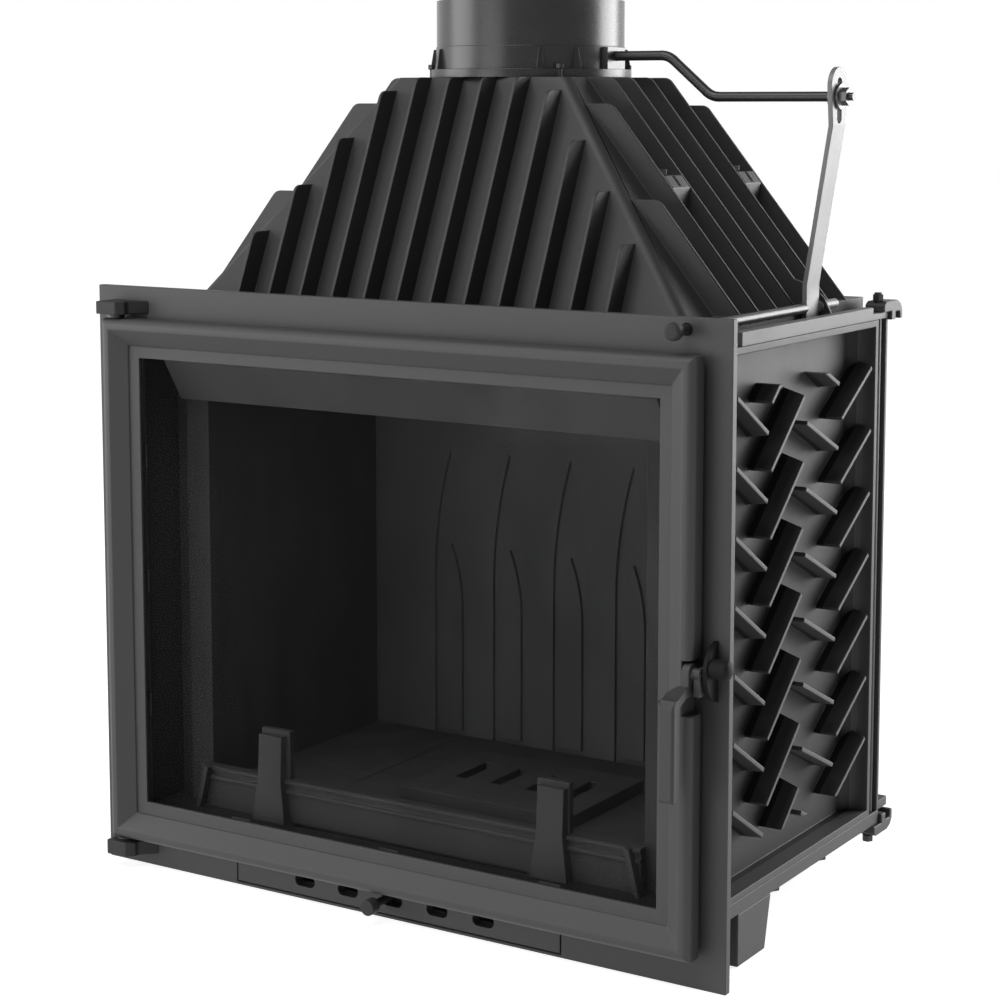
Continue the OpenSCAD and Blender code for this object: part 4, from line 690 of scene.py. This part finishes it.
@dataclass
class GlazedDoor:
    """Door frame with its glass, clips, gasket and sealing rope, in millimetres."""

    half_width: float = 349.0
    foot: float = 33.0
    top: float = 591.5
    front: float = -28.0
    rim_round: float = 7.5
    rim_steps: int = 6
    near: float = 0.02
    rope_inset: float = 16.0
    rope_width: float = 10.0
    rope_front: float = -9.5
    rope_back: float = -0.3
    rope_sides: int = 12
    rope_weld: float = 0.02
    corner: float = 7.0
    corner_steps: int = 5
    frame_edge: Edge = Edge.CAST
    small_edge: Edge = Edge.CRISP

    def rope(self) -> bmesh.types.BMesh:
        """Returns the rope as a round section drawn along the groove, with turned corners."""
        form = bmesh.new()
        radius = self.rope_width / 2
        depth = (self.rope_back - self.rope_front) / 2
        x = self.half_width - self.rope_inset - radius
        low = self.foot + self.rope_inset + radius
        high = self.top - self.rope_inset - radius
        centre = place(-x + self.corner, (self.rope_back + self.rope_front) / 2, low)
        ring = bmesh.ops.create_circle(form, segments=self.rope_sides, radius=radius * MM)["verts"]
        bmesh.ops.scale(form, verts=ring, vec=(1.0, depth / radius, 1.0))
        for axis in "YX":
            turn = Matrix.Rotation(QUARTER_TURN, 3, axis)
            bmesh.ops.rotate(form, verts=ring, cent=(0, 0, 0), matrix=turn)
        bmesh.ops.translate(form, verts=ring, vec=centre)
        edges = list(form.edges)
        across = 2 * (x - self.corner)
        upward = high - low - 2 * self.corner
        for way, length in (((1, 0, 0), across), ((0, 0, 1), upward),
                            ((-1, 0, 0), across), ((0, 0, -1), upward)):
            ahead = Vector(way)
            inward = Vector((-ahead.z, 0, ahead.x))
            drawn = bmesh.ops.extrude_edge_only(form, edges=edges)["geom"]
            verts = [part for part in drawn if isinstance(part, bmesh.types.BMVert)]
            bmesh.ops.translate(form, verts=verts, vec=ahead * length * MM)
            centre = centre + ahead * length * MM
            edges = [part for part in drawn if isinstance(part, bmesh.types.BMEdge)]
            turned = bmesh.ops.spin(
                form, geom=edges, cent=centre + inward * self.corner * MM, axis=(0, -1, 0),
                angle=QUARTER_TURN, steps=self.corner_steps, use_duplicate=False)["geom_last"]
            edges = [part for part in turned if isinstance(part, bmesh.types.BMEdge)]
            centre = centre + (ahead + inward) * self.corner * MM
        bmesh.ops.remove_doubles(form, verts=form.verts, dist=self.rope_weld * MM)
        bmesh.ops.recalc_face_normals(form, faces=form.faces)
        return form

    def rim(self, form: bmesh.types.BMesh) -> list[bmesh.types.BMEdge]:
        """Returns the edges round the outside of the door's front.

        Args:
            form: The door frame's merged mesh.
        """
        low = place(-self.half_width, self.front, self.foot)
        high = place(self.half_width, self.front, self.top)
        near = self.near * MM
        found = []
        for edge in form.edges:
            ends = [vert.co for vert in edge.verts]
            if any(abs(end.y - low.y) > near for end in ends):
                continue
            if any(all(abs(end[way] - limit[way]) < near for end in ends)
                   for way in (0, 2) for limit in (low, high)):
                found.append(edge)
        return found

    def build(self, shop: Workshop) -> None:
        """Makes the pieces."""
        form = shop.merged("door_frame")
        rim = self.rim(form)
        log.info("door rim: %d edges", len(rim))
        round_over(form, rim, self.rim_round, self.rim_steps, clamp=False)
        shop.finish("door_frame_soft", form, Finish.DOOR, ["door_frame"], self.frame_edge)
        shop.finish("fire_glass_pane", shop.merged("door_glass"), Finish.GLASS, ["door_glass"],
                    self.small_edge)
        shop.soften(Finish.TAPE, self.small_edge, "glass_gasket")
        shop.soften(Finish.FIXING, self.small_edge, "glass_clips", "clip_screws")
        shop.finish("door_seal_rope", self.rope(), Finish.ROPE, ["door_rope"], None)


@dataclass
class Latch:
    """Handle on its pin, and the roller that it closes on."""

    grip_edge: Edge = Edge.CAST
    pin_edge: Edge = Edge.TURNED

    def build(self, shop: Workshop) -> None:
        """Makes the pieces."""
        shop.soften(Finish.HANDLE, self.grip_edge, "door_handle")
        shop.soften(Finish.PIN, self.pin_edge, "handle_pin", "keeper_roller")


@dataclass
class Casing:
    """Ribbed side walls, rear wall, base, top frame and feet."""

    wall_edge: Edge = Edge.CAST
    foot_edge: Edge = Edge.FOUNDRY

    def build(self, shop: Workshop) -> None:
        """Makes the pieces."""
        shop.soften(Finish.WALL, self.wall_edge,
                    "side_wall_left", "side_wall_right", "rear_wall", "base_plate")
        shop.soften(Finish.FRAME, self.wall_edge, "top_frame")
        shop.soften(Finish.WALL, self.foot_edge, "front_feet", "rear_feet")


@dataclass
class Fastenings:
    """Tie rods with their claws and nuts, and the bolts under the base."""

    rod_edge: Edge = Edge.SHEARED
    claw_edge: Edge = Edge.FOUNDRY

    def build(self, shop: Workshop) -> None:
        """Makes the pieces."""
        shop.soften(Finish.ROD, self.rod_edge, "tie_rods")
        shop.soften(Finish.CLAMP, self.claw_edge, "corner_clamps")
        shop.soften(Finish.ROD, self.rod_edge, "clamp_nuts", "base_bolts")


class Slope(Enum):
    """The way in which a sloping side of the hood faces."""

    ACROSS = "across"
    DEEP = "deep"


@dataclass
class FinnedHood:
    """Hood with its cooling fins, and the slotted blocks between them."""

    ridge_round: float = 9.0
    ridge_steps: int = 5
    ridge_slant: tuple = (0.3, 0.95)
    side_slant: tuple = (0.1, 0.8)
    facing: float = 0.6
    square: float = 0.05
    hood_edge: Edge = Edge.CAST
    bolt_edge: Edge = Edge.SHEARED

    def ridges(self, form: bmesh.types.BMesh) -> list[bmesh.types.BMEdge]:
        """Returns the four sloping corner edges of the hood's body.

        Args:
            form: The hood's merged mesh.
        """
        flattest, steepest = self.ridge_slant
        found = []
        for edge in form.edges:
            if len(edge.link_faces) != 2:
                continue
            way = (edge.verts[1].co - edge.verts[0].co).normalized()
            slanted = flattest < abs(way.z) < steepest and abs(way.x) > flattest
            if slanted and {self.slope(face.normal) for face in edge.link_faces} == set(Slope):
                found.append(edge)
        return found

    def slope(self, normal: Vector) -> Slope | None:
        """Returns the sloping side that a normal belongs to, or None."""
        lowest, highest = self.side_slant
        if not lowest < normal.z < highest:
            return None
        if abs(normal.x) > self.facing and abs(normal.y) < self.square:
            return Slope.ACROSS
        if abs(normal.y) > self.facing and abs(normal.x) < self.square:
            return Slope.DEEP
        return None

    def build(self, shop: Workshop) -> None:
        """Makes the pieces."""
        form = shop.merged("hood")
        ridges = self.ridges(form)
        log.info("hood ridges: %d edges", len(ridges))
        round_over(form, ridges, self.ridge_round, self.ridge_steps, clamp=True)
        shop.finish("hood_soft", form, Finish.HOOD, ["hood"], self.hood_edge)
        shop.soften(Finish.CLAMP, self.hood_edge, "hood_clamps")
        shop.soften(Finish.ROD, self.bolt_edge, "hood_clamp_bolts")


@dataclass
class FlueCollar:
    """Flanged spigot on the hood, with its bolts."""

    collar_edge: Edge = Edge.TURNED
    bolt_edge: Edge = Edge.SHEARED

    def build(self, shop: Workshop) -> None:
        """Makes the pieces."""
        shop.soften(Finish.COLLAR, self.collar_edge, "flue_collar")
        shop.soften(Finish.ROD, self.bolt_edge, "collar_bolts")


@dataclass
class DamperControl:
    """Pull rod, lever, cranked shaft and blade."""

    rod_edge: Edge = Edge.SHEARED
    knob_edge: Edge = Edge.CAST
    shaft_edge: Edge = Edge.CRISP

    def build(self, shop: Workshop) -> None:
        """Makes the pieces."""
        shop.soften(Finish.ROD, self.rod_edge, "pull_rod")
        shop.soften(Finish.KNOB, self.knob_edge, "pull_knob")
        shop.soften(Finish.LEVER, self.rod_edge, "damper_lever")
        shop.soften(Finish.ROD, self.shaft_edge, "damper_shaft")
        shop.soften(Finish.FIXING, self.rod_edge, "shaft_nuts")
        shop.soften(Finish.GRATE, self.rod_edge, "damper_blade")
        shop.soften(Finish.FIXING, self.rod_edge, "blade_bolts")


@dataclass
class AirInlet:
    """Slotted panel in the foot of the face plate, with its slide."""

    panel_edge: Edge = Edge.SHEARED
    small_edge: Edge = Edge.CRISP
    knob_edge: Edge = Edge.CAST

    def build(self, shop: Workshop) -> None:
        """Makes the pieces."""
        shop.soften(Finish.PLATE, self.panel_edge, "air_panel")
        shop.soften(Finish.FIXING, self.small_edge, "air_panel_screws")
        shop.soften(Finish.SLIDE, self.small_edge, "air_slide")
        shop.soften(Finish.KNOB, self.knob_edge, "air_knob")


@dataclass
class Firebox:
    """Lining, floor, baffles, grate, ash pan and log guard."""

    cast_edge: Edge = Edge.CAST
    sheet_edge: Edge = Edge.SHEARED

    def build(self, shop: Workshop) -> None:
        """Makes the pieces."""
        shop.soften(Finish.LINING, self.cast_edge,
                    "side_lining_left", "side_lining_right", "baffle_lower", "baffle_upper")
        shop.soften(Finish.FLOOR, self.cast_edge, "floor_plates")
        shop.soften(Finish.BACK, self.cast_edge, "rear_lining")
        shop.soften(Finish.LINTEL, self.sheet_edge, "air_deflector")
        shop.soften(Finish.GRATE, self.cast_edge, "grate")
        shop.soften(Finish.PAN, self.sheet_edge, "ash_pan")
        shop.soften(Finish.GUARD, self.cast_edge, "log_guard")


@dataclass(frozen=True)
class Softbox:
    """Soft lamp: where it stands and what it faces, in metres, and its power in watts."""

    name: str
    at: tuple
    aim: tuple
    width: float
    height: float
    power: float

    def build(self) -> None:
        """Makes the lamp."""
        data = bpy.data.lights.new(self.name, "AREA")
        data.shape = "RECTANGLE"
        data.size = self.width
        data.size_y = self.height
        data.energy = self.power
        lamp = stand(self.name, data)
        lamp.location = self.at
        lamp.rotation_euler = (Vector(self.aim) - Vector(self.at)).to_track_quat("-Z", "Y").to_euler()
        lamp.visible_camera = False


class Lamp(Enum):
    """Every lamp in the studio."""

    LEFT = Softbox("left_softbox", (-3.1, -1.7, 0.9), (0.0, -0.1, 0.45), 2.2, 2.2, 54.0)
    TOP = Softbox("top_softbox", (-0.3, -1.7, 3.1), (0.0, 0.0, 0.6), 2.4, 1.8, 58.0)
    FILL = Softbox("front_fill", (-0.9, -3.2, 0.6), (0.0, 0.0, 0.35), 1.6, 1.2, 14.0)
    RIGHT = Softbox("right_softbox", (1.9, 2.5, 1.1), (0.0, 0.0, 0.5), 2.0, 2.0, 112.0)


@dataclass(frozen=True)
class Viewpoint:
    """Camera at the photograph's angle."""

    at: tuple = (1284.9, -1827.6, 815.6)
    focal: float = 2300.9
    picture: float = 1000.0
    sensor: float = 36.0
    turned: float = 32.3185
    tipped: float = 6.8857
    rise: float = -0.12
    nearest: float = 0.05
    farthest: float = 100.0

    def build(self) -> None:
        """Makes the camera, whose focal length is given in the picture's pixels."""
        data = bpy.data.cameras.new("camera")
        data.sensor_width = self.sensor
        data.lens = self.focal * self.sensor / self.picture
        data.shift_y = self.rise
        data.clip_start = self.nearest
        data.clip_end = self.farthest
        camera = stand("camera", data)
        camera.location = place(*self.at)
        camera.rotation_euler = (math.radians(90.0 - self.tipped), 0.0, math.radians(self.turned))
        bpy.context.scene.camera = camera


@dataclass(frozen=True)
class Surroundings:
    """White backdrop all round, and for reflections a dim room overhead and in front.

    The two dimming tuples hold where the light falls off, over what range, and by what share.
    """

    ambient: float = 0.24
    dim_way: tuple = (0.72, -0.69, 0.0)
    dim_overhead: tuple = (0.5, 0.5, 0.88)
    dim_ahead: tuple = (0.3, 0.7, 0.85)
    white: tuple = (1.0, 1.0, 1.0, 1.0)

    def build(self) -> None:
        """Makes the world."""
        world = bpy.data.worlds.new("studio")
        bpy.context.scene.world = world
        recipe = Recipe(world)
        way = recipe.node("ShaderNodeTexCoord", {}, {}, "Generated")
        height = recipe.node("ShaderNodeSeparateXYZ", {}, {"Vector": way}, "Z")
        ahead = recipe.node("ShaderNodeVectorMath", {"operation": "DOT_PRODUCT"}, {
            0: way, 1: self.dim_way}, "Value")
        overhead = height.dimmed(*self.dim_overhead)
        room = overhead * ahead.dimmed(*self.dim_ahead)
        camera = recipe.seen("Camera")
        shiny = recipe.seen("Glossy", "Transmission")
        light = shiny * room + (1.0 - shiny) * overhead * self.ambient
        background = recipe.node("ShaderNodeBackground", {}, {
            "Color": self.white, "Strength": camera + (1.0 - camera) * light})
        recipe.node("ShaderNodeOutputWorld", {}, {"Surface": background}, None)


@dataclass(frozen=True)
class PaleFloor:
    """Floor that shows as light as its surroundings and keeps the shadow; sizes in metres."""

    size: float = 40.0
    cells: int = 4
    sunk: float = 0.0005
    colour: tuple = (0.55, 0.55, 0.55, 1.0)
    roughness: float = 0.9
    gloss: float = 0.1
    glow: float = 0.84
    far_glow: float = 0.14
    far_edge: float = 1.6
    far_soft: float = 1.8

    def build(self) -> None:
        """Makes the floor."""
        shader = Shader("pale_floor")
        reach = shader.node("ShaderNodeVectorMath", {"operation": "LENGTH"}, {0: shader.place}, "Value")
        glow = self.glow + reach.above(self.far_edge, self.far_soft) * self.far_glow
        shown = shader.seen("Camera", "Glossy", "Transmission") * glow
        shader.dress(Base_Color=self.colour, Roughness=self.roughness, Specular_IOR_Level=self.gloss,
                     Emission_Color=shader.tint(shown, (0.0, 0.0, 0.0), (1.0, 1.0, 1.0)),
                     Emission_Strength=1.0)
        form = bmesh.new()
        bmesh.ops.create_grid(form, x_segments=self.cells, y_segments=self.cells, size=self.size / 2)
        bmesh.ops.translate(form, verts=form.verts, vec=(0.0, 0.0, -self.sunk))
        mesh = mesh_of("floor", form)
        mesh.materials.append(shader.material)
        stand("floor", mesh)


def main() -> None:
    """Builds the insert's looks and its studio."""
    logging.basicConfig(level=logging.INFO, format="%(name)s: %(message)s")
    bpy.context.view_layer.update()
    shop = Workshop(frame)
    for part in (FacePlate(), GlazedDoor(), Latch(), Casing(), Fastenings(), FinnedHood(),
                 FlueCollar(), DamperControl(), AirInlet(), Firebox()):
        before = len(shop.made)
        part.build(shop)
        log.info("%s: %s", type(part).__name__, ", ".join(shop.made[before:]))
    bpy.context.scene.view_settings.view_transform = "Standard"
    for stage in (Viewpoint(), Surroundings(), PaleFloor(), *(lamp.value for lamp in Lamp)):
        stage.build()


if __name__ == "__main__":
    main()
